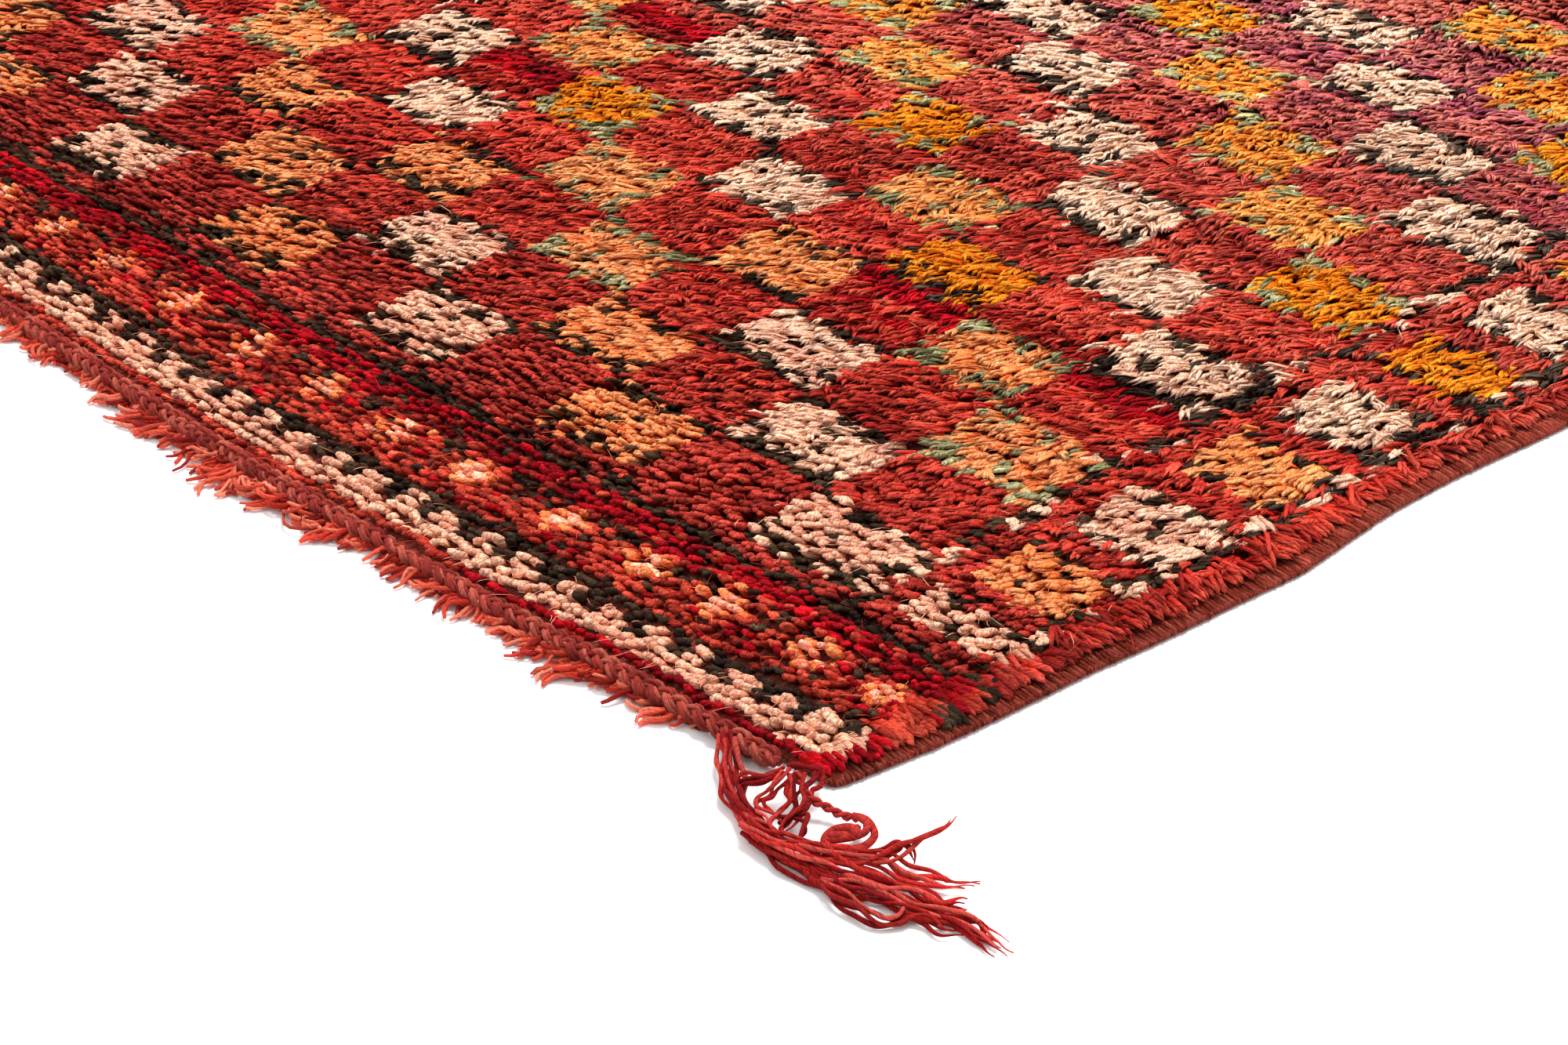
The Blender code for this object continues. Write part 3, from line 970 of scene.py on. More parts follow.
@dataclass(frozen=True)
class PaintedRootShade:
    """Painted shade along a strand: darker towards its root, where the pile shades it, with a deeper hue
    painted there for light bounced between strands; less so in pale wool.
    """

    root_end: float = 0.12
    fade: float = 0.70
    root_hue: float = 1.9
    hue_loss: float = 0.9
    root_tone: float = 0.53
    root_tone_pale: float = 0.36
    tip_tone: float = 1.04
    tip_tone_pale: float = -0.07

    def colours(self, dye: Array, share: Array) -> Array:
        """Return the colours along strands, with the painted shade.

        Args:
            dye: A linear colour for each strand.
            share: How far along a strand each of its points lies.

        Returns:
            A linear colour for each point of each strand.
        """
        # painted shade: dark and deep-hued at the root, full tone where the strand is lit
        lit = smooth((share - self.root_end) / self.fade)
        peak = np.max(dye, axis=1)[:, None, None]
        hue = dye[:, None] / peak
        deep = self.root_tone + self.root_tone_pale * peak
        light = self.tip_tone + self.tip_tone_pale * peak
        return peak * hue ** (self.root_hue - self.hue_loss * lit) * (deep + (light - deep) * lit)


def bend_strands(
    strand: Strand,
    root: Array,
    shoulder: Array,
    tip: Array,
    radius: Array,
    turn: Array,
    dye: Array,
    squash: Array | float = 0.86,
    shade: PaintedRootShade = PaintedRootShade(),
) -> tuple[Array, Array, Array, Array, Array]:
    """Bend copies of a strand along arcs.

    Args:
        strand: The plain strand.
        root: Where each copy starts.
        shoulder: The point that pulls each arc over.
        tip: Where each copy ends.
        radius: Each copy's radius.
        turn: Each copy's turn about its own line.
        dye: Each copy's linear colour.
        squash: Each copy's height as a share of its width, or one for all.
        shade: The painted shade that darkens the copies towards their roots.

    Returns:
        Points, face corners, face starts, colours and fibre places, as YarnMesh.add takes them.
    """
    shape, corners, starts = strand.shape()
    share = shape[:, 2][None, :, None]
    along = (1 - share) ** 2 * root[:, None] + 2 * share * (1 - share) * shoulder[:, None]
    line = along + share**2 * tip[:, None]
    heading = unit((1 - share) * (shoulder - root)[:, None] + share * (tip - shoulder)[:, None])
    level = unit(tip - root) * np.array([1.0, 1.0, 0.0])
    side = unit(np.stack([-level[:, 1], level[:, 0], np.zeros(len(level))], axis=1))[:, None]
    over = np.cross(heading, np.broadcast_to(side, heading.shape))
    cosine, sine = np.cos(turn)[:, None], np.sin(turn)[:, None]
    x = shape[:, 0] * cosine - shape[:, 1] * sine
    y = shape[:, 0] * sine + shape[:, 1] * cosine
    size = radius[:, None, None]
    flat = np.broadcast_to(squash, len(radius))[:, None, None]
    points = line + (side * x[..., None] + over * flat * y[..., None]) * size
    length = np.linalg.norm(shoulder - root, axis=1) + np.linalg.norm(tip - shoulder, axis=1)
    distance = share[..., 0] * length[:, None] + turn[:, None] * 0.05
    fibre = np.stack([x, y, np.broadcast_to(distance, x.shape)], axis=-1)
    colours = shade.colours(dye, share)
    n, v = points.shape[:2]
    all_corners = (corners[None] + np.arange(n)[:, None] * v).ravel()
    all_starts = (starts[None] + np.arange(n)[:, None] * len(corners)).ravel()
    return points.reshape(-1, 3), all_corners, all_starts, colours.reshape(-1, 3), fibre.reshape(-1, 3)


def follow(route: Sequence[Sequence[float]], steps: int) -> Array:
    """Draw a smooth line through points.

    Args:
        route: The points, two or more.
        steps: How many points the line gets.

    Returns:
        The line's points.
    """
    points = np.array(route, float)
    points = np.vstack([2 * points[0] - points[1], points, 2 * points[-1] - points[-2]])
    at = np.linspace(0, len(route) - 1, steps)
    piece = np.minimum(at.astype(int), len(route) - 2)
    t = (at - piece)[:, None]
    a, b, c, d = (points[piece + k] for k in range(4))
    return 0.5 * (2 * b + (c - a) * t + (2 * a - 5 * b + 4 * c - d) * t**2 + (3 * b - a - 3 * c + d) * t**3)


def sweep(
    line: Array, radii: Array, sides: int, dye: Array, squash: float = 1.0
) -> tuple[Array, Array, Array, Array, Array]:
    """Sweep a closed round yarn along a line.

    Args:
        line: The yarn's middle line.
        radii: The radius at each of the line's points.
        sides: How many sides the yarn has.
        dye: One linear colour, or one for each of the line's points.
        squash: The yarn's height as a share of its width.

    Returns:
        Points, face corners, face starts, colours and fibre places, as YarnMesh.add takes them.
    """
    n = len(line)
    heading = unit(np.gradient(line, axis=0))
    side = np.empty_like(heading)
    start = np.cross(heading[0], (0.0, 0.0, 1.0))
    side[0] = unit(start if np.linalg.norm(start) > 0.1 else np.array([1.0, 0.0, 0.0]))
    for i in range(1, n):
        side[i] = unit(side[i - 1] - heading[i] * np.dot(side[i - 1], heading[i]))
    over = np.cross(side, heading)
    angle = np.arange(sides) / sides * FULL_TURN
    ring = np.stack([np.cos(angle), np.sin(angle)], axis=1)
    offset = side[:, None] * ring[None, :, :1] + over[:, None] * ring[None, :, 1:] * squash
    points = (line[:, None] + offset * radii[:, None, None]).reshape(-1, 3)
    ends = np.array([line[0] - heading[0] * radii[0] * 0.5, line[-1] + heading[-1] * radii[-1] * 0.5])
    points = np.vstack([points, ends])
    k = np.arange(sides)
    after = (k + 1) % sides
    rows = np.arange(n - 1)[:, None] * sides
    quads = np.stack([rows + k, rows + sides + k, rows + sides + after, rows + after], axis=-1).reshape(-1, 4)
    first = np.stack([np.full(sides, n * sides), k, after], axis=1)
    last = np.stack([np.full(sides, n * sides + 1), (n - 1) * sides + after, (n - 1) * sides + k], axis=1)
    corners = np.concatenate([quads.ravel(), first.ravel(), last.ravel()])
    sizes = np.concatenate([np.full(len(quads), 4), np.full(2 * sides, 3)])
    starts = np.concatenate([[0], np.cumsum(sizes)[:-1]])
    distance = travelled(line)
    round_yarn = np.broadcast_to(ring[None], (n, sides, 2))
    along_yarn = np.broadcast_to(distance[:, None, None], (n, sides, 1))
    fibre = np.concatenate([round_yarn, along_yarn], axis=2).reshape(-1, 3)
    fibre = np.vstack([fibre, [0.0, 0.0, 0.0], [0.0, 0.0, distance[-1]]])
    tone = np.broadcast_to(np.atleast_2d(dye), (n, 3))
    colours = np.vstack([np.repeat(tone, sides, axis=0), tone[0], tone[-1]])
    return points, corners, starts, colours, fibre


# Sub-assemblies


@dataclass
class WovenGround:
    """The flat weave that holds the knots, bare along both selvedges and at the far hem."""

    layout: RugLayout
    thickness: float = 0.0030
    lift: float = FLOOR_GAP
    across: int = 48
    along: int = 90
    rounding: float = 0.0014
    corner: float = 0.007
    finish: WovenWool = WovenWool("packed wool weft", "#8e3626", "#4c160e", 1.5, 3.1)

    def sharp(self, bm: bmesh.types.BMesh) -> list[bmesh.types.BMEdge]:
        """Return the slab's edges that turn by more than a radian."""
        return [edge for edge in bm.edges if edge.calc_face_angle(0.0) > 1.0]

    def build(self) -> bpy.types.Object:
        """Weave the ground as a thin slab with rounded edges.

        Returns:
            The ground.
        """
        bm = bmesh.new()
        bmesh.ops.create_grid(bm, x_segments=self.across, y_segments=self.along, size=1.0)
        x = np.array([vert.co.x for vert in bm.verts]) * self.layout.half_width
        y = np.array([vert.co.y for vert in bm.verts]) * self.layout.half_length
        x, y = self.layout.drifted(x, y)
        for vert, east, north in zip(bm.verts, x, y):
            vert.co = (east, north, self.lift)
        skin = bmesh.ops.extrude_face_region(bm, geom=bm.faces[:])["geom"]
        raised = [item for item in skin if isinstance(item, bmesh.types.BMVert)]
        bmesh.ops.translate(bm, verts=raised, vec=(0.0, 0.0, self.thickness))
        bmesh.ops.recalc_face_normals(bm, faces=bm.faces)
        drop = {edge: abs(edge.verts[0].co.z - edge.verts[1].co.z) for edge in self.sharp(bm)}
        upright = [edge for edge, height in drop.items() if height > self.thickness / 2]
        bevel = {"affect": "EDGES", "profile": 0.5, "material": -1}
        bmesh.ops.bevel(bm, geom=upright, offset=self.corner, segments=5, **bevel)
        bmesh.ops.bevel(bm, geom=self.sharp(bm), offset=self.rounding, segments=2, **bevel)
        mesh = finished(bm, "woven_ground")
        mesh.shade_smooth()
        mesh.materials.append(self.finish.material())
        ground = place("woven_ground", mesh)
        LOG.info("%s: %d faces", ground.name, len(mesh.polygons))
        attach(ground, "root")
        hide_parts("rug_body")
        return ground


@dataclass(frozen=True)
class Locks:
    """How the lock of wool at each knot lies."""

    x: Array
    y: Array
    tone: Array
    heading: Array
    reach: Array
    lift: Array
    outer: Array
    bare: Array
    turned: Array

    def taken(self, pick: Array) -> Locks:
        """Return the picked locks."""
        return Locks(*(getattr(self, each.name)[pick] for each in fields(self)))


@dataclass(frozen=True)
class YarnEnd:
    """One cut end in a lock.

    Its side of the lock comes first, then its width and length near the plaited end and in the field, how
    much higher it lies, and how unevenly it took the dye.
    """

    side: float
    wide: tuple[float, float]
    long: tuple[float, float]
    lift: float
    mottle: float


@dataclass
class KnottedPile:
    """The cut wool pile: each knot is a lock of yarn ends where the photograph looks, else one thick tuft.

    A lock has two ends. A thin third one lies over it in the field, and a longer one at the selvedges. Tables
    have rows of (distance from the plaited end, value), lengths are in metres and angles in degrees.
    """

    layout: RugLayout
    knots: Knots
    near_strand: Strand = Strand(5, ((0.24, 0.76), (0.56, 1.0), (0.91, 0.88)), 0.0, 1.03)
    mid_strand: Strand = Strand(4, ((0.38, 0.95), (0.86, 0.88)), 0.0, 1.03)
    far_strand: Strand = Strand(3, ((0.38, 1.05), (0.86, 0.95)), 0.0, 1.03)
    over_strand: Strand = Strand(3, ((0.42, 0.95), (0.84, 0.80)), 0.0, 1.02)
    tuft_strand: Strand = Strand(3, ((0.64, 1.0),), 0.0, 1.0)
    ends: tuple[YarnEnd, ...] = (
        YarnEnd(-1.0, (1.16, 1.02), (1.0, 1.0), 0.0, 0.14),
        YarnEnd(1.0, (0.92, 0.74), (1.0, 1.22), 0.0004, 0.18),
    )
    over: YarnEnd = YarnEnd(0.2, (0.60, 0.60), (1.3, 1.3), 0.0010, 0.24)
    tuft: YarnEnd = YarnEnd(0.0, (1.8, 1.8), (1.0, 1.0), 0.0, 0.17)
    # painted light that lifts the plain tufts' colour
    tuft_painted_lift: float = 1.55
    tuft_contrast: float = 0.90
    brightest: float = 0.95
    reach: Table = ((0.0, 0.0066), (0.10, 0.0086), (0.18, 0.0120), (0.27, 0.0145), (0.40, 0.0160))
    rise: Table = ((0.0, 0.68), (0.13, 0.50), (0.21, 0.25), (0.28, 0.16), (0.36, 0.04))
    end_radius: Table = ((0.0, 0.0020), (0.12, 0.00185), (0.30, 0.00178))
    pair_gap: Table = ((0.0, 0.0009), (0.20, 0.00115))
    flatness: Table = ((0.0, 0.88), (0.16, 0.80), (0.30, 0.64))
    outer_start: Table = ((0.0, 0.021), (0.03, 0.028), (0.12, 0.030), (0.25, 0.021), (0.5, 0.016))
    outer_wander: float = 0.006
    outer_turn: float = 98.0
    outer_reach: float = 0.0135
    outer_fall: float = 0.0030
    outer_slope: float = 0.22
    # painted shade on the locks that turn out over the selvedge
    outer_painted_shade: float = 0.14
    tousle: tuple[float, float] = (17.0, 15.0)
    sway: float = 15.0
    wild_share: float = 0.04
    reach_spread: float = 0.20
    lift_spread: float = 0.0010
    rim_reach: float = 1.15
    worn_black: float = 0.0009
    worn_reach: float = 0.12
    pale_bulk: float = 0.26
    bare_web: float = 0.0062
    bare_wander: float = 0.0022
    back_step: float = 0.55
    depth_cuts: tuple[float, ...] = (-1.0, 0.30, 0.50, 0.68, 9.0)
    over_zones: int = 3
    over_from: tuple[float, float] = (0.11, 0.20)
    seam_blur: float = 0.011
    finish: SpunWool = SpunWool("hand-spun pile wool", 0.58, 2.0, 90.0, 6.0, 0.7, 0.3)
    seed: int = 5

    def locks(self, pick: Array, rng: np.random.Generator) -> Locks:
        """Work out how each knot's wool lies: towards the plaited end, and outward at the selvedges.

        Args:
            pick: The picked knots.
            rng: The seeded random numbers.

        Returns:
            A lock for each picked knot.
        """
        x = self.knots.x[pick] + rng.normal(0.0, 0.0005, int(np.sum(pick)))
        y = self.knots.y[pick] + rng.normal(0.0, 0.0008, len(x))
        n = len(x)
        along = y + self.layout.half_length
        from_side = self.layout.half_width - np.abs(x)
        start = read(self.outer_start, along) + ripple(x, y, 1.0, 0.027, 5.5) * self.outer_wander
        start = start + rng.normal(0.0, 0.0015, n)
        outer = smooth((start - from_side) / 0.003)
        outward = np.radians(self.outer_turn) * outer * np.sign(x)
        shag = smooth((along - 0.08) / 0.22)
        tousle = ripple(x, y, 0.05, 0.05, 9.5) * self.tousle[0]
        tousle = tousle + ripple(x, y, 0.017, 0.017, 3.5) * self.tousle[1]
        sway = rng.normal(0.0, self.sway, n)
        sway = np.where(rng.random(n) < self.wild_share, sway * 2.5, sway)
        turn = (tousle * (0.35 + 0.65 * shag) + sway) * (1.0 - 0.10 * outer)
        reach = read(self.reach, along) * (1.0 - outer) + self.outer_reach * outer
        reach = reach * np.exp(rng.normal(0.0, self.reach_spread, n))
        bare = self.bare_web + self.bare_wander * ripple(x * 0.0, y, 1.0, 0.035, 6.5)
        bare = bare + rng.uniform(-self.bare_wander, self.bare_wander, n)
        lift = rng.normal(0.0, self.lift_spread, n) * (1.0 - 0.4 * outer)
        worn = self.knots.yarn[pick] == Yarn.BLACK.value
        lift = lift - self.worn_black * worn
        reach = reach * (1.0 - self.worn_reach * worn)
        turned = np.where(rng.random(n) < 0.5, -1.0, 1.0)
        heading = outward + np.radians(turn)
        return Locks(x, y, self.knots.tone[pick], heading, reach, lift, outer, bare, turned)

    def arcs(self, locks: Locks, end: YarnEnd, rng: np.random.Generator) -> tuple[Array, ...]:
        """Work out one yarn end of each lock.

        Args:
            locks: How the locks lie.
            end: Which of a lock's ends it is.
            rng: The seeded random numbers.

        Returns:
            Roots, shoulders, tips, radii, turns, colours and flatness.
        """
        n = len(locks.x)
        along = locks.y + self.layout.half_length
        side = end.side * locks.turned
        inner = smooth((along - 0.10) / 0.12)
        heading = locks.heading + rng.normal(0.0, np.radians(4.0), n) + side * rng.normal(0.03, 0.05, n)
        long = end.long[0] + (end.long[1] - end.long[0]) * inner
        reach = locks.reach * long * np.exp(rng.normal(0.0, 0.07, n))
        wide = end.wide[0] + (end.wide[1] - end.wide[0]) * inner
        radius = read(self.end_radius, along) * wide * np.exp(rng.normal(0.0, 0.12, n))
        radius = radius * (1.0 + 0.08 * locks.outer + self.pale_bulk * smooth(locks.tone[:, 1] / 0.45))
        lean, across = level_ways(heading)
        top = self.layout.pile_top(locks.x, locks.y) + locks.lift + end.lift + rng.normal(0.0, 0.0003, n)
        top = top - locks.outer * self.outer_fall - 0.0008 * (1.0 - read(self.rise, along) / 0.5)
        backward = self.back_step * np.minimum(reach, 0.016)
        x = locks.x - lean[:, 0] * backward
        y = np.minimum(locks.y - lean[:, 1] * backward, self.layout.half_length - 0.004)
        towards_side = np.maximum(lean[:, 0] * np.sign(x), 0.15)
        room = (self.layout.half_width - np.abs(x) - locks.bare) / towards_side
        reach = np.clip(reach, 0.003, np.maximum(room, 0.004))
        east, north = self.layout.drifted(x, y)
        root = np.stack([east, north, np.full(n, self.layout.web_height - 0.0012)], axis=1)
        root = root + across * (side * read(self.pair_gap, along))[:, None]
        tip = root + lean * reach[:, None] + across * (rng.normal(0.0, 0.0006, n) - side * 0.0002)[:, None]
        tip[:, 2] = np.maximum(top - radius * 0.8, self.layout.web_height + radius * 0.5)
        shoulder = root + lean * (reach * 0.16)[:, None] + across * rng.normal(0.0, 0.0011, n)[:, None]
        slope = read(self.rise, along) * (1.0 - locks.outer) - self.outer_slope * locks.outer
        shoulder[:, 2] = 1.5 * tip[:, 2] - 0.5 * root[:, 2] - 1.34 * slope * reach
        turn = rng.random(n) * FULL_TURN
        mottle = end.mottle * (1.25 - np.max(locks.tone, axis=1, keepdims=True))
        # painted shade: the locks turned out over the selvedge are darkened
        darker = self.outer_painted_shade * locks.outer[:, None]
        tone = locks.tone * np.exp(rng.normal(0.0, 1.0, (n, 1)) * mottle - darker)
        return root, shoulder, tip, radius, turn, tone, read(self.flatness, along)

    def zone(self, pick: Array, strand: Strand, over: bool, name: str, seed: int) -> YarnMesh:
        """Make the picked knots' yarn ends, each end a strand.

        Args:
            pick: The picked knots.
            strand: The strand for their ends.
            over: Whether a thin long end lies over each lock of the field.
            name: The piece's name.
            seed: The random numbers' seed.

        Returns:
            The ends.
        """
        rng = np.random.default_rng(seed)
        locks = self.locks(pick, rng)
        mesh = YarnMesh(name)
        for end in self.ends:
            mesh.add(*bend_strands(strand, *self.arcs(locks, end, rng)))
        outer = locks.taken(locks.outer > 0.5)
        n = len(outer.x)
        if n:
            longer = replace(
                outer,
                x=outer.x - np.sign(outer.x) * 0.0020,
                y=outer.y + 0.0030,
                heading=outer.heading + rng.normal(0.0, 0.30, n),
                reach=outer.reach * self.rim_reach,
                lift=outer.lift + rng.uniform(-0.0005, 0.0012, n),
                bare=outer.bare + rng.uniform(-0.0015, 0.0015, n),
            )
            mesh.add(*bend_strands(strand, *self.arcs(longer, self.ends[1], rng)))
        if over:
            along = locks.y + self.layout.half_length
            inner = locks.taken(along > rng.uniform(*self.over_from, len(along)))
            if len(inner.x):
                mesh.add(*bend_strands(self.over_strand, *self.arcs(inner, self.over, rng)))
        return mesh

    def tufts(self, pick: Array, name: str, seed: int) -> YarnMesh:
        """Make one thick tuft for each picked knot, its colour painted lighter to make up for the deeper
        shade in the gaps between them.

        Args:
            pick: The picked knots.
            name: The piece's name.
            seed: The random numbers' seed.

        Returns:
            The tufts.
        """
        rng = np.random.default_rng(seed)
        mesh = YarnMesh(name)
        locks = self.locks(pick, rng)
        # painted light: the tufts' colour is lifted against the shade of their deeper gaps
        tone = locks.tone**self.tuft_contrast
        painted_light = np.minimum(self.tuft_painted_lift, self.brightest / np.max(tone, axis=1, keepdims=True))
        locks = replace(locks, tone=tone * painted_light)
        mesh.add(*bend_strands(self.tuft_strand, *self.arcs(locks, self.tuft, rng)))
        return mesh

    def build(self) -> list[bpy.types.Object]:
        """Knot the pile in pieces of under 200,000 triangles.

        Returns:
            The pile's pieces.
        """
        knots = self.knots
        blur = np.random.default_rng(self.seed + 40).normal(0.0, self.seam_blur, (2, len(knots.x)))
        detail = self.layout.in_view(knots.x + blur[0], knots.y + blur[1])
        depth = self.layout.depth(knots.x, knots.y)
        wool = self.finish.material()
        strands = (self.near_strand, self.mid_strand, self.far_strand, self.far_strand)
        pieces = []
        for number, strand in enumerate(strands):
            pick = detail & (depth >= self.depth_cuts[number]) & (depth < self.depth_cuts[number + 1])
            over = number < self.over_zones
            zone = self.zone(pick, strand, over, f"pile_zone_{number}", self.seed + number)
            pieces.append(zone.build(wool))
        rest = np.flatnonzero(~detail)
        for number, part in enumerate(np.array_split(rest, 2)):
            pick = np.zeros(len(knots.x), bool)
            pick[part] = True
            pieces.append(self.tufts(pick, f"pile_rest_{number}", self.seed + 20 + number).build(wool))
        for piece in pieces:
            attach(piece, "root")
            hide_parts("rug_body")
        return pieces


@dataclass
class SelvedgeWefts:
    """The wefts' turns round the outermost warps: fine ribs along both selvedges and the near corner."""

    layout: RugLayout
    fine_pitch: float = 0.0025
    coarse_pitch: float = 0.0032
    fine_radius: float = 0.00125
    coarse_radius: float = 0.0015
    seen_to: float = -0.37
    corner: float = 0.007
    cord_end: float = 0.556
    turn: Table = (
        (0.0140, 0.0027), (0.0060, 0.0033), (0.0018, 0.0030), (0.0003, 0.0020), (0.0012, 0.0013),
    )
    # painted shade down each turn: darker where it runs in under the pile and where it goes under the rug
    turn_painted_shade: tuple[float, ...] = (0.8, 1.0, 0.95, 0.7, 0.45)
    # painted shade: the wefts darken towards the near corner
    corner_shade: tuple[float, float] = (0.62, 0.33)
    tones: tuple[str, ...] = ("#823022", "#8e3a2c", "#702618", "#9a4636")
    finish: SpunWool = SpunWool("selvedge weft turns", 0.45, 2.0, 200.0, 3.0, 0.4, 0.2)
    seed: int = 17

    def near_path(self) -> Array:
        """Return the edge where the photograph looks: along the selvedge and round the near corner."""
        half_width, half_length = self.layout.half_width, self.layout.half_length
        y = np.arange(self.seen_to, -half_length, -self.fine_pitch)
        side = np.stack(self.layout.drifted(np.full(len(y), half_width), y), axis=1)
        corner = np.stack(self.layout.drifted(np.array([half_width]), np.array([-half_length])), axis=1)[0]
        side = side[side[:, 1] > corner[1] + self.corner]
        angle = np.radians(np.arange(0.0, 90.0, math.degrees(self.fine_pitch / self.corner)))
        middle = corner + np.array([-self.corner, self.corner])
        arc = middle + self.corner * np.stack([np.cos(angle), -np.sin(angle)], axis=1)
        x = np.arange(middle[0], self.cord_end, -self.fine_pitch)
        true = x / corner[0] * half_width
        _, front = self.layout.drifted(true, np.full(len(x), -half_length))
        return np.vstack([side, arc, np.stack([x, front], axis=1)])

    def far_path(self, side: float) -> Array:
        """Return the rest of one selvedge, on the side that the sign names."""
        low = self.seen_to if side > 0 else -self.layout.half_length + self.corner
        y = np.arange(self.layout.half_length - self.corner, low, -self.coarse_pitch)
        return np.stack(self.layout.drifted(np.full(len(y), side * self.layout.half_width), y), axis=1)

    def wrap(self, mesh: YarnMesh, path: Array, radius: float, sides: int, rng: np.random.Generator) -> None:
        """Turn a weft round the edge at each point of a path.

        Args:
            mesh: Gets the yarns.
            path: Places on the edge.
            radius: The yarns' radius.
            sides: How many sides each yarn has.
            rng: The seeded random numbers.
        """
        along = unit(np.gradient(path, axis=0))
        inward = np.stack([along[:, 1], -along[:, 0]], axis=1)
        inward = inward * np.sign(np.sum(-path * inward, axis=1))[:, None]
        dyes = [linear(tone) for tone in self.tones]
        turn = np.array(self.turn if sides > 3 else self.turn[:4])
        # painted shade down each turn
        depth = np.array(self.turn_painted_shade)[: len(turn), None]
        dark, lighter = self.corner_shade
        for spot, way, slip in zip(path, inward, along):
            off = turn[:, 0] * np.array([rng.uniform(0.7, 1.0), *np.ones(len(turn) - 1)])
            off = off + rng.normal(0.0, 0.0002)
            line = np.empty((len(turn), 3))
            line[:, :2] = spot + way * off[:, None] + slip * rng.normal(0.0, 0.0004, (len(turn), 1))
            line[:, 2] = np.maximum(turn[:, 1] + rng.normal(0.0, 0.0002), radius)
            # painted shade, darker towards the near corner
            shade = dark + lighter * float(smooth(np.array((spot[1] + self.layout.half_length) / 0.4)))
            dye = dyes[rng.integers(len(dyes))] * np.exp(rng.normal(0.0, 0.15)) * shade
            radii = np.full(len(line), radius * rng.uniform(0.85, 1.15))
            mesh.add(*sweep(line, radii, sides, dye[None] * depth))

    def build(self) -> bpy.types.Object:
        """Turn the wefts, finely where the photograph looks.

        Returns:
            The weft turns.
        """
        rng = np.random.default_rng(self.seed)
        mesh = YarnMesh("selvedge_wefts")
        self.wrap(mesh, self.near_path(), self.fine_radius, 4, rng)
        for side in (1.0, -1.0):
            self.wrap(mesh, self.far_path(side), self.coarse_radius, 3, rng)
        wefts = mesh.build(self.finish.material())
        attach(wefts, "root")
        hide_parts("rug_body")
        return wefts


@dataclass
class StrayFibres:
    """Fine fibres that stand off the wool where the photograph looks."""

    layout: RugLayout
    knots: Knots
    strand: Strand = Strand(3, ((0.35, 1.0), (0.75, 0.8)), 0.0, 1.0)
    chances: Table = ((0.0, 0.8), (0.30, 0.6), (0.50, 0.22), (0.70, 0.10), (0.75, 0.0))
    radius: float = 0.00018
    reach: float = 0.0095
    spread_degrees: float = 42.0
    reach_spread: float = 0.35
    # painted light: the fibres are coloured lighter than their knots' wool, as fibres that catch the light
    painted_light: float = 1.25
    edge_pitch: float = 0.0009
    edge_to: float = -0.37
    edge_reach: float = 0.0026
    edge_tone: str = "#b05244"
    finish: SpunWool = SpunWool("stray wool fibres", 0.2, 1.0, 20.0, 5.0, 0.1, 0.2)
    seed: int = 23

    def over_pile(self, rng: np.random.Generator) -> tuple[Array, ...]:
        """Lay fibres over the pile, as arguments of bend_strands."""
        seen = self.layout.in_view(self.knots.x, self.knots.y)
        hope = read(self.chances, self.layout.depth(self.knots.x, self.knots.y)) * seen
        pick = np.repeat(np.arange(len(hope)), np.floor(hope + rng.random(len(hope))).astype(int))
        n = len(pick)
        x = self.knots.x[pick] + rng.normal(0.0, 0.003, n)
        y = self.knots.y[pick] + rng.normal(0.0, 0.003, n)
        top = self.layout.pile_top(x, y)
        east, north = self.layout.drifted(x, y)
        heading = np.radians(rng.normal(0.0, self.spread_degrees, n))
        lean, across = level_ways(heading)
        reach = self.reach * np.exp(rng.normal(0.0, self.reach_spread, n))
        root = np.stack([east, north, top - 0.0015], axis=1)
        tip = root + lean * reach[:, None]
        tip[:, 2] = top + rng.uniform(-0.0005, 0.0022, n)
        shoulder = (root + tip) / 2 + across * rng.normal(0.0, 0.0026, n)[:, None]
        shoulder[:, 2] = top + rng.uniform(0.0002, 0.0018, n)
        radius = self.radius * rng.uniform(0.7, 1.3, n)
        # painted light lifts the fibres' colour
        return root, shoulder, tip, radius, rng.random(n) * ANY_PHASE, self.knots.tone[pick] * self.painted_light

    def at_edge(self, rng: np.random.Generator) -> tuple[Array, ...]:
        """Lay short fibres out of the near selvedge, as arguments of bend_strands."""
        y = np.arange(-self.layout.half_length + 0.008, self.edge_to, self.edge_pitch)
        y = y + rng.normal(0.0, 0.0006, len(y))
        n = len(y)
        east, north = self.layout.drifted(np.full(n, self.layout.half_width), y)
        root = np.stack([east - 0.0012, north, rng.uniform(0.0014, 0.0034, n)], axis=1)
        _, way = level_ways(rng.normal(0.0, 0.8, n))
        tip = root + way * (self.edge_reach * np.exp(rng.normal(0.0, self.reach_spread, n)))[:, None]
        tip[:, 2] = np.maximum(root[:, 2] + rng.normal(0.0, 0.0012, n), 0.0004)
        shoulder = (root + tip) / 2 + rng.normal(0.0, 0.0006, (n, 3))
        shoulder[:, 2] = np.maximum(shoulder[:, 2], 0.0005)
        tone = linear(self.edge_tone)[None] * np.exp(rng.normal(0.0, 0.2, (n, 1)))
        return root, shoulder, tip, np.full(n, self.radius * 0.7), rng.random(n) * ANY_PHASE, tone

    def build(self) -> bpy.types.Object:
        """Lay the fibres.

        Returns:
            The fibres.
        """
        rng = np.random.default_rng(self.seed)
        mesh = YarnMesh("stray_fibres")
        mesh.add(*bend_strands(self.strand, *self.over_pile(rng)))
        mesh.add(*bend_strands(self.strand, *self.at_edge(rng)))
        fibres = mesh.build(self.finish.material())
        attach(fibres, "root")
        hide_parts("rug_body")
        return fibres


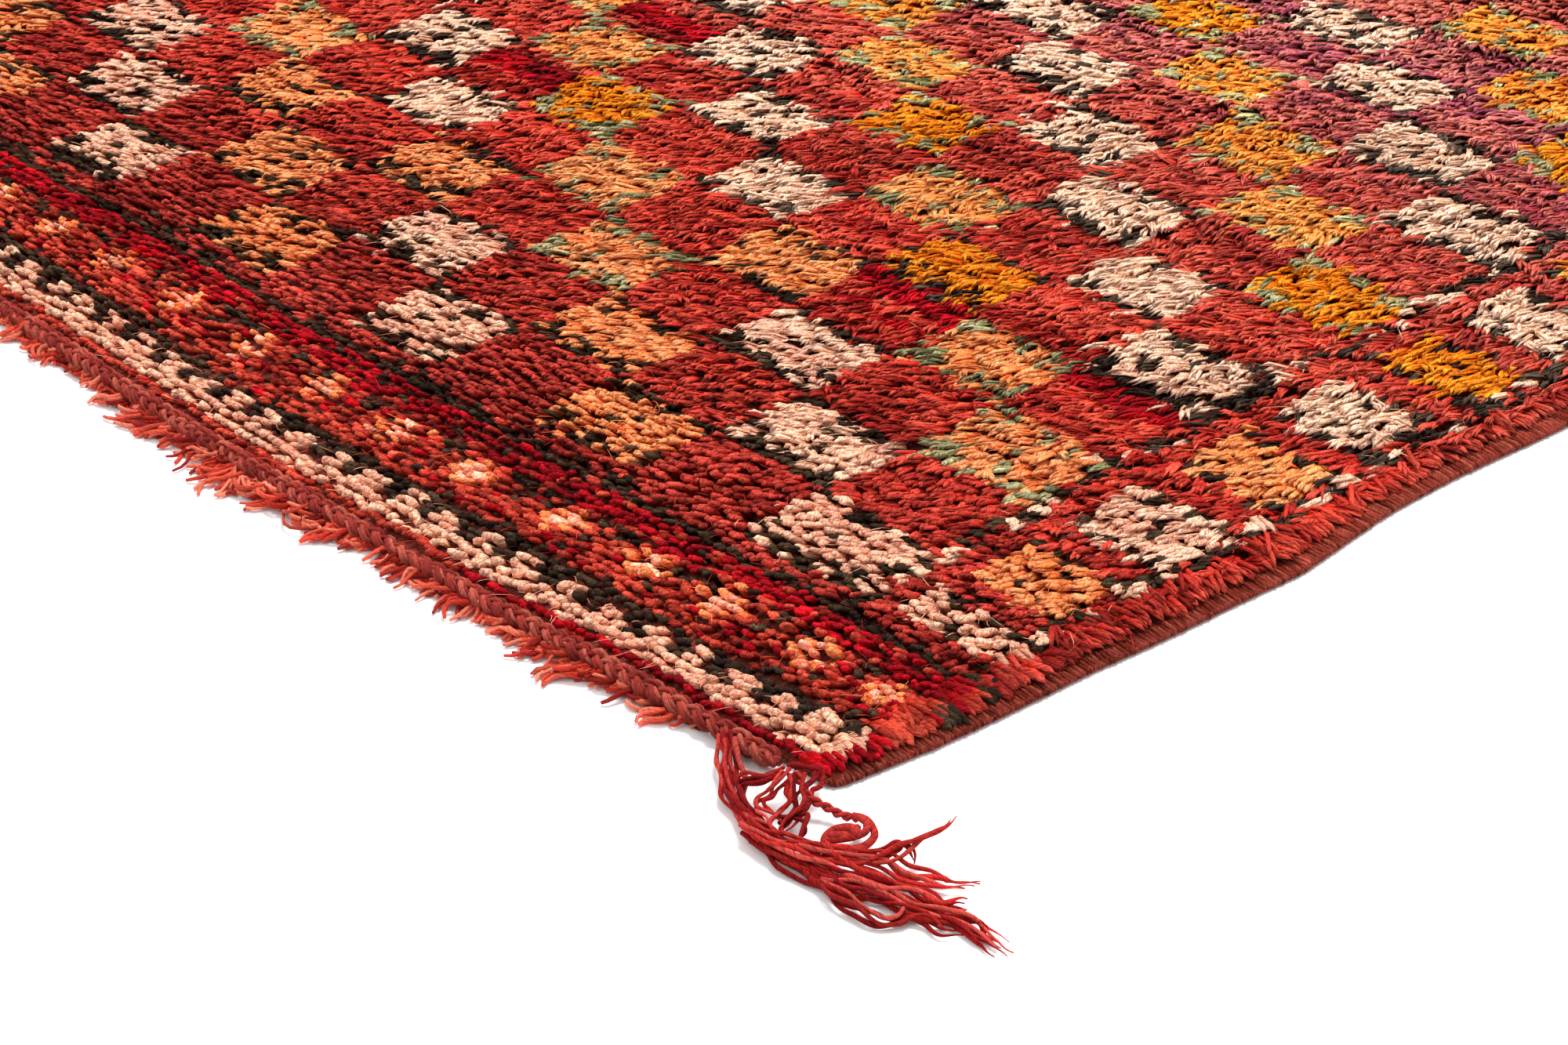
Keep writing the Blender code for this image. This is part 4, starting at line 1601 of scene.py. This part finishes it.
@dataclass
class PlaitedCord:
    """The cord along the end that was woven first: three bundles of warp yarn, plaited flat."""

    layout: RugLayout
    start: float = -0.585
    end: float = 0.557
    radius: float = 0.0057
    lobe: float = 0.0008
    gap: float = 0.0003
    height: float = 0.0060
    plait_pitch: float = 0.0255
    sway: float = 0.0034
    hop: float = 0.0017
    bundles: int = 3
    yarns: int = 4
    yarn_radius: float = 0.00125
    yarn_ring: float = 0.0014
    ply_twist: float = 0.045
    fine_step: float = 0.0020
    seen_from: float = -0.06
    tones: tuple[str, ...] = ("#98362c", "#a8443a", "#8a2e28", "#b25444")
    # painted shade: the cord's yarns are painted darker low down, on its shaded underside
    root_shade: tuple[float, float] = (0.50, 0.52)
    finish: SpunWool = SpunWool("plaited warp wool", 0.55, 3.0, 150.0, 3.0, 0.7, 0.3)
    seed: int = 31

    def middle(self, x: Array) -> Array:
        """Return the cord's place along the rug, beside the wavy edge."""
        _, edge = self.layout.drifted(x, np.full(np.shape(x), -self.layout.half_length))
        return edge - self.radius - self.lobe - self.gap

    def build(self) -> bpy.types.Object:
        """Plait the cord.

        Returns:
            The cord.
        """
        rng = np.random.default_rng(self.seed)
        mesh = YarnMesh("plaited_cord")
        fine = np.arange(self.seen_from, self.end, self.fine_step)
        coarse = np.arange(self.start, self.seen_from, self.fine_step * 1.9)
        x = np.concatenate([coarse, fine, [self.end]])
        y = self.middle(x)
        phase = x / self.plait_pitch * FULL_TURN + 0.5 * np.sin(x * 31.0)
        swell = 1.0 + 0.06 * np.sin(x * 57.0) + 0.05 * np.sin(x * 131.0 + 1.0)
        closing = np.clip(np.minimum(x - self.start, self.end - x) / 0.008 + 0.45, 0.0, 1.0)
        roll = 0.35 * np.sin(x * 13.0) + 0.25 * np.sin(x * 29.0 + 2.0)
        dyes = [linear(tone) for tone in self.tones]
        dark, lighter = self.root_shade
        for number in range(self.bundles):
            turn = phase + number * FULL_TURN / self.bundles
            flat = self.sway * np.sin(turn) * swell * closing
            high = self.hop * np.sin(2 * turn) * closing
            side = y + flat * np.cos(roll) - high * np.sin(roll)
            rise = self.height + flat * np.sin(roll) + high * np.cos(roll)
            for strand in range(self.yarns):
                wind = x / self.ply_twist * FULL_TURN + strand * FULL_TURN / self.yarns + number
                ring = self.yarn_ring * swell * closing
                line = np.stack([x, side + ring * np.cos(wind), rise + ring * np.sin(wind)], axis=1)
                radii = self.yarn_radius * swell * rng.uniform(0.88, 1.12)
                dye = dyes[rng.integers(len(dyes))] * np.exp(rng.normal(0.0, 0.10))
                # painted shade on the lower yarns
                depth = dark + lighter * smooth((line[:, 2:] - 0.0050) / 0.0050)
                mesh.add(*sweep(line, radii, 5, dye[None] * depth))
        cord = mesh.build(self.finish.material())
        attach(cord, "root")
        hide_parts("end_cord")
        return cord


@dataclass
class CurlyFringe:
    """Short cut warp ends that curl out in fluffy locks from under the cord."""

    cord: PlaitedCord
    start: float = -0.577
    end: float = 0.515
    lock_pitch: float = 0.0047
    reach: float = 0.0160
    shortest: float = 0.006
    spread: float = 0.006
    tuft: tuple[float, float, float] = (0.235, 0.060, 0.011)
    yarn_radius: float = 0.00125
    lowest: float = 0.0011
    strip_width: float = 0.006
    sweep_degrees: float = 54.0
    tones: tuple[str, ...] = ("#b0382a", "#c85440", "#8a2620", "#de7860")
    finish: SpunWool = SpunWool("curly warp ends", 0.34, 2.0, 90.0, 4.0, 0.5, 0.45)
    seed: int = 47

    def reach_at(self, x: float, rng: np.random.Generator) -> float:
        """Return how far the fringe reaches beyond the cord's middle."""
        centre, width, extra = self.tuft
        bulge = extra * math.exp(-(((x - centre) / width) ** 2))
        wave = math.sin(x * 61.0) * 0.5 + math.sin(x * 143.0 + 1.0) * 0.5
        grown = self.reach * (0.78 + 0.22 * float(smooth(np.array((x + 0.05) / 0.2))))
        return max(self.shortest, grown + self.spread * wave + bulge + rng.normal(0.0, 0.002))

    def curl(
        self, root: Array, heading: float, length: float, wave: Array, steps: int, rng: np.random.Generator
    ) -> Array:
        """Draw one curled yarn.

        Args:
            root: Its start under the cord.
            heading: Its first direction, from straight out towards the cord's start.
            length: Its length.
            wave: Its lock's bend and its waves' size, count and start, in radians.
            steps: How many points it gets.
            rng: The seeded random numbers.

        Returns:
            The yarn's line.
        """
        share = np.linspace(0.0, 1.0, steps)
        bend, size, count, start = wave * (1.0 + rng.normal(0.0, 0.14, 4))
        turn = heading + bend * share**1.4 + size * np.sin(share * count + start)
        pace = length / (steps - 1)
        x = root[0] - np.concatenate([[0.0], np.cumsum(np.sin(turn[1:]) * pace)])
        y = root[1] - np.concatenate([[0.0], np.cumsum(np.cos(turn[1:]) * pace)])
        hump = rng.uniform(0.0, 0.0030)
        z = root[2] * (1 - share**1.5) + hump * np.sin(share * math.pi) + 0.0012 * share**1.5
        z = z + rng.uniform(0.0, 0.0009) * np.sin(share * rng.uniform(6.0, 11.0) + rng.random() * ANY_PHASE)
        return np.stack([x, y, np.maximum(z, self.lowest)], axis=1)

    def lock(
        self, at: float, dyes: list[Array], seen: bool, rng: np.random.Generator
    ) -> list[tuple[Array, Array, Array]]:
        """Curl the yarns of one lock.

        Args:
            at: The lock's place along the cord.
            dyes: The yarns' linear colours to pick from.
            seen: Whether the photograph looks at it.
            rng: The seeded random numbers.

        Returns:
            Each yarn's line, radii and colours.
        """
        middle = float(self.cord.middle(np.array([at]))[0])
        heading = math.radians(self.sweep_degrees) + rng.normal(0.0, 0.26)
        bend, size = rng.normal(0.2, 0.7), rng.uniform(0.5, 1.1)
        wave = np.array([bend, size, rng.uniform(5.0, 9.0), rng.random() * ANY_PHASE])
        length = self.reach_at(at, rng) * 1.02 / max(0.6, math.cos(heading))
        height = rng.uniform(0.0018, 0.0042)
        yarns = []
        for number in range(rng.integers(5, 9) if seen else 4):
            offset = rng.normal(0.0, 0.0015)
            root = np.array([at + offset, middle + 0.001, height + rng.normal(0.0, 0.0008)])
            root[2] = max(root[2], 0.0012)
            own = heading + rng.normal(0.0, 0.11) + (rng.normal(0.0, 0.35) if number == 0 else 0.0)
            own_length = length * rng.uniform(0.62, 1.08)
            line = self.curl(root, own, own_length, wave, 9 if seen else 5, rng)
            share = np.linspace(0.0, 1.0, len(line))
            radii = self.yarn_radius * rng.uniform(0.75, 1.3) * (1.0 - 0.35 * share**3.0)
            dye = dyes[rng.integers(len(dyes))] * np.exp(rng.normal(0.0, 0.15))
            # painted shade: darker and deeper in hue at the root under the cord, lighter out at the tip
            tone = dye[None] ** (1.35 - 0.40 * share[:, None]) * (0.60 + 0.50 * share[:, None])
            yarns.append((line, radii, tone))
        return yarns

    def build(self) -> bpy.types.Object:
        """Curl the fringe out of a thin strip under the cord.

        Returns:
            The fringe.
        """
        rng = np.random.default_rng(self.seed)
        mesh = YarnMesh("curly_fringe")
        dyes = [linear(tone) for tone in self.tones]
        x = np.arange(self.start, self.end, 0.008)
        strip = np.stack([x, self.cord.middle(x) + 0.0005, np.full(len(x), 0.0009)], axis=1)
        # the strip under the cord is painted in shade, at half the darkest dye
        mesh.add(*sweep(strip, np.full(len(x), self.strip_width / 2), 6, dyes[2] * 0.5, 0.22))
        at = self.start + 0.004
        while at < self.end:
            seen = at > self.cord.seen_from
            for line, radii, tone in self.lock(at, dyes, seen, rng):
                mesh.add(*sweep(line, radii, 5 if seen else 3, tone))
            at += self.lock_pitch * rng.uniform(0.6, 1.5) * (1.0 if seen else 1.6)
        fringe = mesh.build(self.finish.material())
        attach(fringe, "root")
        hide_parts("end_fringe")
        return fringe


@dataclass(frozen=True)
class Bundle:
    """Yarns side by side on one route.

    How many there are, how far apart in millimetres, and the route in millimetres from the end of the
    plaited cord: across, along and height.
    """

    count: int
    apart: float
    route: Route


TASSEL: dict[str, Bundle] = {
    "outer": Bundle(
        4, 1.9,
        (
            (-27, -6, 9), (-17, -15, 6), (-9, -20, 5), (1, -27, 4), (13, -33, 5), (27, -38, 6),
            (40, -40, 6), (52, -38, 5),
        ),
    ),
    "outer_inside": Bundle(
        4, 2.2,
        (
            (-21, -9, 10), (-10, -18, 7), (2, -27, 5), (13, -34, 5), (27, -40, 7), (44, -40, 7),
        ),
    ),
    "meander": Bundle(
        3, 1.8,
        (
            (13, -10, 13), (11, -18, 12), (3, -21, 9), (1, -26, 7), (10, -31, 6), (24, -37, 7),
            (38, -40, 8),
        ),
    ),
    "hook": Bundle(
        3, 2.0,
        (
            (16, -9, 13), (19, -17, 12), (20, -23, 10), (17, -27, 9), (22, -31, 8), (29, -30, 9),
            (36, -34, 9),
        ),
    ),
    "drop": Bundle(
        4, 2.2,
        (
            (19, -8, 13), (25, -15, 11), (31, -19, 10), (33, -26, 9), (35, -34, 8), (45, -38, 7),
        ),
    ),
    "right": Bundle(
        3, 1.8,
        (
            (12, -4, 12), (17, 1, 12), (20, 5, 10), (24, 0, 9), (25, -8, 8), (31, -15, 7), (36, -24, 7),
            (38, -34, 7),
        ),
    ),
    "small_loop": Bundle(
        2, 1.2,
        (
            (31, -30, 7), (34, -24, 7), (39, -21, 8), (45, -24, 8), (47, -30, 5), (49, -35, 4),
        ),
    ),
    "upper_tip": Bundle(
        4, 1.8,
        (
            (24, -41, 8), (38, -43, 9), (48, -38, 9), (58, -32, 8), (68, -25, 8), (80, -18, 7),
            (91, -13, 5), (102, -6, 3), (107, -2, 2), (116, 5, 1.5),
        ),
    ),
    "raised_tip": Bundle(
        3, 1.2,
        (
            (46, -38, 8), (58, -32, 8), (71, -26, 7), (79, -18, 8), (84, -7, 10), (86, 4, 11), (87, 12, 13),
            (88, 16, 17),
        ),
    ),
    "arch": Bundle(
        2, 1.0,
        (
            (60, -30, 6), (76, -17, 6), (79, -9, 8), (81, -6.5, 9), (84, -5, 7), (88, -6, 2),
        ),
    ),
    "middle_tip": Bundle(
        5, 1.9,
        (
            (26, -40, 5), (48, -39, 6), (70, -33, 6), (89, -26, 5), (105, -19, 4), (114, -17, 2.5),
            (119, -12, 2), (123, -7, 1.5),
        ),
    ),
    "long_tip": Bundle(
        5, 1.5,
        (
            (30, -41, 3), (49, -40, 4), (72, -35, 4), (92, -29, 4), (109, -25, 3), (117, -21, 2),
            (128, -17, 1.5), (141, -15, 1.5), (155, -18, 1.5),
        ),
    ),
    "second_tip": Bundle(
        3, 1.8,
        (
            (40, -42, 3), (74, -38, 3), (95, -32, 3), (111, -27, 2), (125, -20, 1.5), (137, -20, 1.5),
            (148, -20, 1.5),
        ),
    ),
    "bulge": Bundle(
        4, 1.7,
        (
            (36, -43, 4), (52, -43, 3), (67, -42, 3), (77, -42, 2.5), (90, -43, 2.5), (103, -42, 2),
            (107, -36, 2), (108, -30, 2), (115, -27, 2), (124, -25, 1.5), (130, -21, 1.5),
        ),
    ),
    "curl": Bundle(
        1, 0.0,
        (
            (117, -19, 2), (126, -16, 2), (132, -15, 4.5), (136, -14, 4), (135, -12.5, 2), (131, -13, 1.5),
        ),
    ),
}


@dataclass
class CornerTassel:
    """The loose warp yarns past the cord's end: a tangled head and a wispy tail on the floor."""

    cord: PlaitedCord
    yarn_radius: float = 0.00102
    waver_mm: float = 1.3
    tones: tuple[str, ...] = ("#94201c", "#a62e2a", "#7a1416", "#b8443c")
    lowest: float = 0.0012
    finish: SpunWool = SpunWool("loose red warp wool", 0.45, 1.8, 130.0, 4.0, 0.5, 0.3)
    seed: int = 71

    def origin(self) -> Array:
        """Return the end of the plaited cord on the floor."""
        return np.array([self.cord.end, float(self.cord.middle(np.array([self.cord.end]))[0]), 0.0])

    def waver(self, line: Array, rng: np.random.Generator) -> Array:
        """Let a yarn wander from its route, as loose wool does.

        Args:
            line: The yarn's line in metres.
            rng: The seeded random numbers.

        Returns:
            The wavy line.
        """
        distance = travelled(line)
        fade = smooth(distance / 0.010) * smooth((distance[-1] - distance) / 0.010 + 0.3)
        sway = np.zeros(len(line))
        hop = np.zeros(len(line))
        for length, share in ((0.045, 1.0), (0.019, 0.35)):
            turn = distance / (length * rng.uniform(0.8, 1.25)) * FULL_TURN
            sway += share * np.sin(turn + rng.random() * ANY_PHASE)
            hop += share * np.sin(turn * 0.8 + rng.random() * ANY_PHASE)
        wavy = line.copy()
        wavy[:, :2] += sideways(line) * (sway * fade * self.waver_mm / 1000.0)[:, None]
        wavy[:, 2] += hop * fade * self.waver_mm * 0.7 / 1000.0
        return wavy

    def build(self) -> bpy.types.Object:
        """Lay the tassel's yarns.

        Returns:
            The tassel.
        """
        rng = np.random.default_rng(self.seed)
        mesh = YarnMesh("corner_tassel_yarns")
        dyes = [linear(tone) for tone in self.tones]
        for bundle in TASSEL.values():
            for number in range(bundle.count):
                shift = (number - (bundle.count - 1) / 2) * bundle.apart
                points = np.array(bundle.route, float)
                points[:, :2] += sideways(points) * shift + rng.normal(0.0, 0.7, (len(points), 2))
                points[:, 2] += rng.normal(0.0, 0.6, len(points)) + (1.6 if number % 2 else 0.0)
                points[:, 2] = np.maximum(points[:, 2], 1.3)
                whole = follow(points / 1000.0, len(points) * 6)
                keep = len(whole) - int(rng.integers(0, 5)) * (bundle.count > 1)
                line = self.waver(whole[:keep] + self.origin(), rng)
                line[:, 2] = np.maximum(line[:, 2], self.lowest)
                share = np.linspace(0.0, 1.0, len(line))
                taper = 1.0 - 0.72 * smooth((share - 0.78) / 0.22)
                uneven = 1.0 + 0.14 * np.sin(share * rng.uniform(15, 30) + rng.random() * ANY_PHASE)
                radii = self.yarn_radius * rng.uniform(0.8, 1.25) * taper * uneven
                dye = dyes[rng.integers(len(dyes))] * np.exp(rng.normal(0.0, 0.16))
                # painted shade: the lower yarns of each bundle get a deeper, darker colour
                dye = dye if number % 2 else dye**1.15
                tip = 1.0 + 0.35 * smooth((share - 0.6) / 0.4)[:, None]
                mesh.add(*sweep(line, radii, 6, dye[None] * tip))
        tassel = mesh.build(self.finish.material())
        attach(tassel, "root")
        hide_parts("corner_tassel")
        return tassel


@dataclass
class KnottedCord:
    """A small two-ply cord from the corner, with its end balled into a knot."""

    tassel: CornerTassel
    ply_radius: float = 0.0011
    plies_apart: float = 0.0011
    twist_pitch: float = 0.010
    ball_radii: tuple[float, ...] = (0.0021, 0.0021, 0.0026)
    cord_route: Route = (
        (16, -4, 11), (24, -8, 9), (31, -9.5, 8), (37, -7, 6), (44, -5.5, 5), (50, -4, 6), (54, -4, 8),
    )
    ball_routes: tuple[Route, ...] = (
        (
            (50, -4, 7), (56, -4, 9), (61, -5, 9), (65.5, -7, 7), (66, -11, 5), (64.5, -16, 4),
            (59, -21, 3.5), (53, -22.5, 3.5), (50.5, -20, 5), (53, -16.5, 8), (58, -13, 9.5),
            (62, -14.5, 9),
        ),
        (
            (54, -5, 9), (60, -6.5, 10), (63, -10, 9), (61, -15, 8), (56, -19, 6), (52, -20.5, 4.5),
            (51, -18, 4), (55, -14, 5), (60, -10, 6),
        ),
        ((56, -8, 6), (59, -12, 7), (57, -17, 7), (53, -19, 6), (54, -15, 5), (58, -11, 5)),
    )

    def build(self) -> bpy.types.Object:
        """Twist the cord and ball its end.

        Returns:
            The knotted cord.
        """
        mesh = YarnMesh("knotted_cord")
        origin = self.tassel.origin()
        dye = linear(self.tassel.tones[1])
        line = follow(np.array(self.cord_route) / 1000.0, 40) + origin
        heading = unit(np.gradient(line, axis=0))
        side = unit(np.cross(heading, (0.0, 0.0, 1.0)))
        over = np.cross(side, heading)
        for number in range(2):
            angle = (travelled(line) / self.twist_pitch * FULL_TURN + number * math.pi)[:, None]
            ply = line + (side * np.cos(angle) + over * np.sin(angle)) * self.plies_apart
            mesh.add(*sweep(ply, np.full(len(ply), self.ply_radius), 6, dye * 0.95))
        for number, route in enumerate(self.ball_routes):
            ball = follow(np.array(route) / 1000.0, len(route) * 6) + origin
            radii = self.ball_radii[number] * np.linspace(0.75, 1.0, len(ball))
            mesh.add(*sweep(ball, radii, 7, dye))
        knot = mesh.build(self.tassel.finish.material())
        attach(knot, "root")
        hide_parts("corner_knot")
        return knot


@dataclass
class Studio:
    """Plain white paper, soft lights and the camera at the photograph's angle."""

    target: tuple[float, float, float] = (0.42525, -0.76425, 0.014)
    distance: float = 1.526
    azimuth: float = 46.90
    elevation: float = 31.21
    lens: float = 74.5
    floor_size: float = 12.0
    floor_drop: float = 0.0003
    lit_spot: tuple[float, float, float] = (0.2, -0.4, 0.0)
    sky: float = 0.80
    paper: StudioPaper = StudioPaper()

    def back(self) -> Vector:
        """Return the direction from the target to the camera."""
        turn, tilt = math.radians(self.azimuth), math.radians(self.elevation)
        flat = math.cos(tilt)
        return Vector((flat * math.sin(turn), -flat * math.cos(turn), math.sin(tilt)))

    def camera(self) -> None:
        """Set up the camera without shift or depth of field."""
        data = bpy.data.cameras.new("camera")
        data.lens = self.lens
        data.sensor_width = 36.0
        data.clip_start = 0.05
        data.clip_end = 60.0
        camera = place("camera", data)
        camera.location = Vector(self.target) + self.back() * self.distance
        camera.rotation_euler = (-self.back()).to_track_quat("-Z", "Y").to_euler()
        bpy.context.scene.camera = camera

    def softbox(self, name: str, spot: tuple[float, float, float], size: float, power: float) -> None:
        """Hang a square softbox that looks at the rug's near corner.

        Args:
            name: The light's name.
            spot: Where it hangs.
            size: Its side in metres.
            power: Its power in watts.
        """
        data = bpy.data.lights.new(name, "AREA")
        data.shape = "SQUARE"
        data.size = size
        data.energy = power
        light = place(name, data)
        light.location = spot
        aim = Vector(self.lit_spot) - Vector(spot)
        light.rotation_euler = aim.to_track_quat("-Z", "Y").to_euler()

    def build(self) -> bpy.types.Object:
        """Lay the paper, hang the lights and set the camera.

        Returns:
            The floor.
        """
        bm = bmesh.new()
        bmesh.ops.create_grid(bm, x_segments=2, y_segments=2, size=self.floor_size / 2)
        bmesh.ops.translate(bm, verts=bm.verts, vec=(0.0, 0.0, -self.floor_drop))
        mesh = finished(bm, "floor")
        mesh.materials.append(self.paper.material())
        floor = place("floor", mesh)
        world = bpy.data.worlds.new("studio")
        world.use_nodes = True
        background = world.node_tree.nodes["Background"]
        background.inputs["Color"].default_value = (1.0, 1.0, 1.0, 1.0)
        background.inputs["Strength"].default_value = self.sky
        bpy.context.scene.world = world
        self.softbox("key", (0.1, 0.5, 3.0), 1.4, 132.0)
        self.softbox("fill", (0.6, -2.6, 2.4), 2.2, 20.0)
        bpy.context.scene.view_settings.view_transform = "Standard"
        self.camera()
        LOG.info("studio: paper, lights and camera")
        return floor


def main() -> None:
    """Build the studio, then the rug in the order in which it is made."""
    logging.basicConfig(level=logging.INFO, format="%(message)s")
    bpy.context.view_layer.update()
    layout = RugLayout()
    Studio().build()
    ground = WovenGround(layout).build()
    knots = KnotChart(layout).knots()
    pile = KnottedPile(layout, knots).build()
    wefts = SelvedgeWefts(layout).build()
    fibres = StrayFibres(layout, knots).build()
    cord = PlaitedCord(layout)
    cord_piece = cord.build()
    fringe = CurlyFringe(cord).build()
    tassel = CornerTassel(cord)
    tassel_piece = tassel.build()
    knot = KnottedCord(tassel).build()


if __name__ == "__main__":
    main()
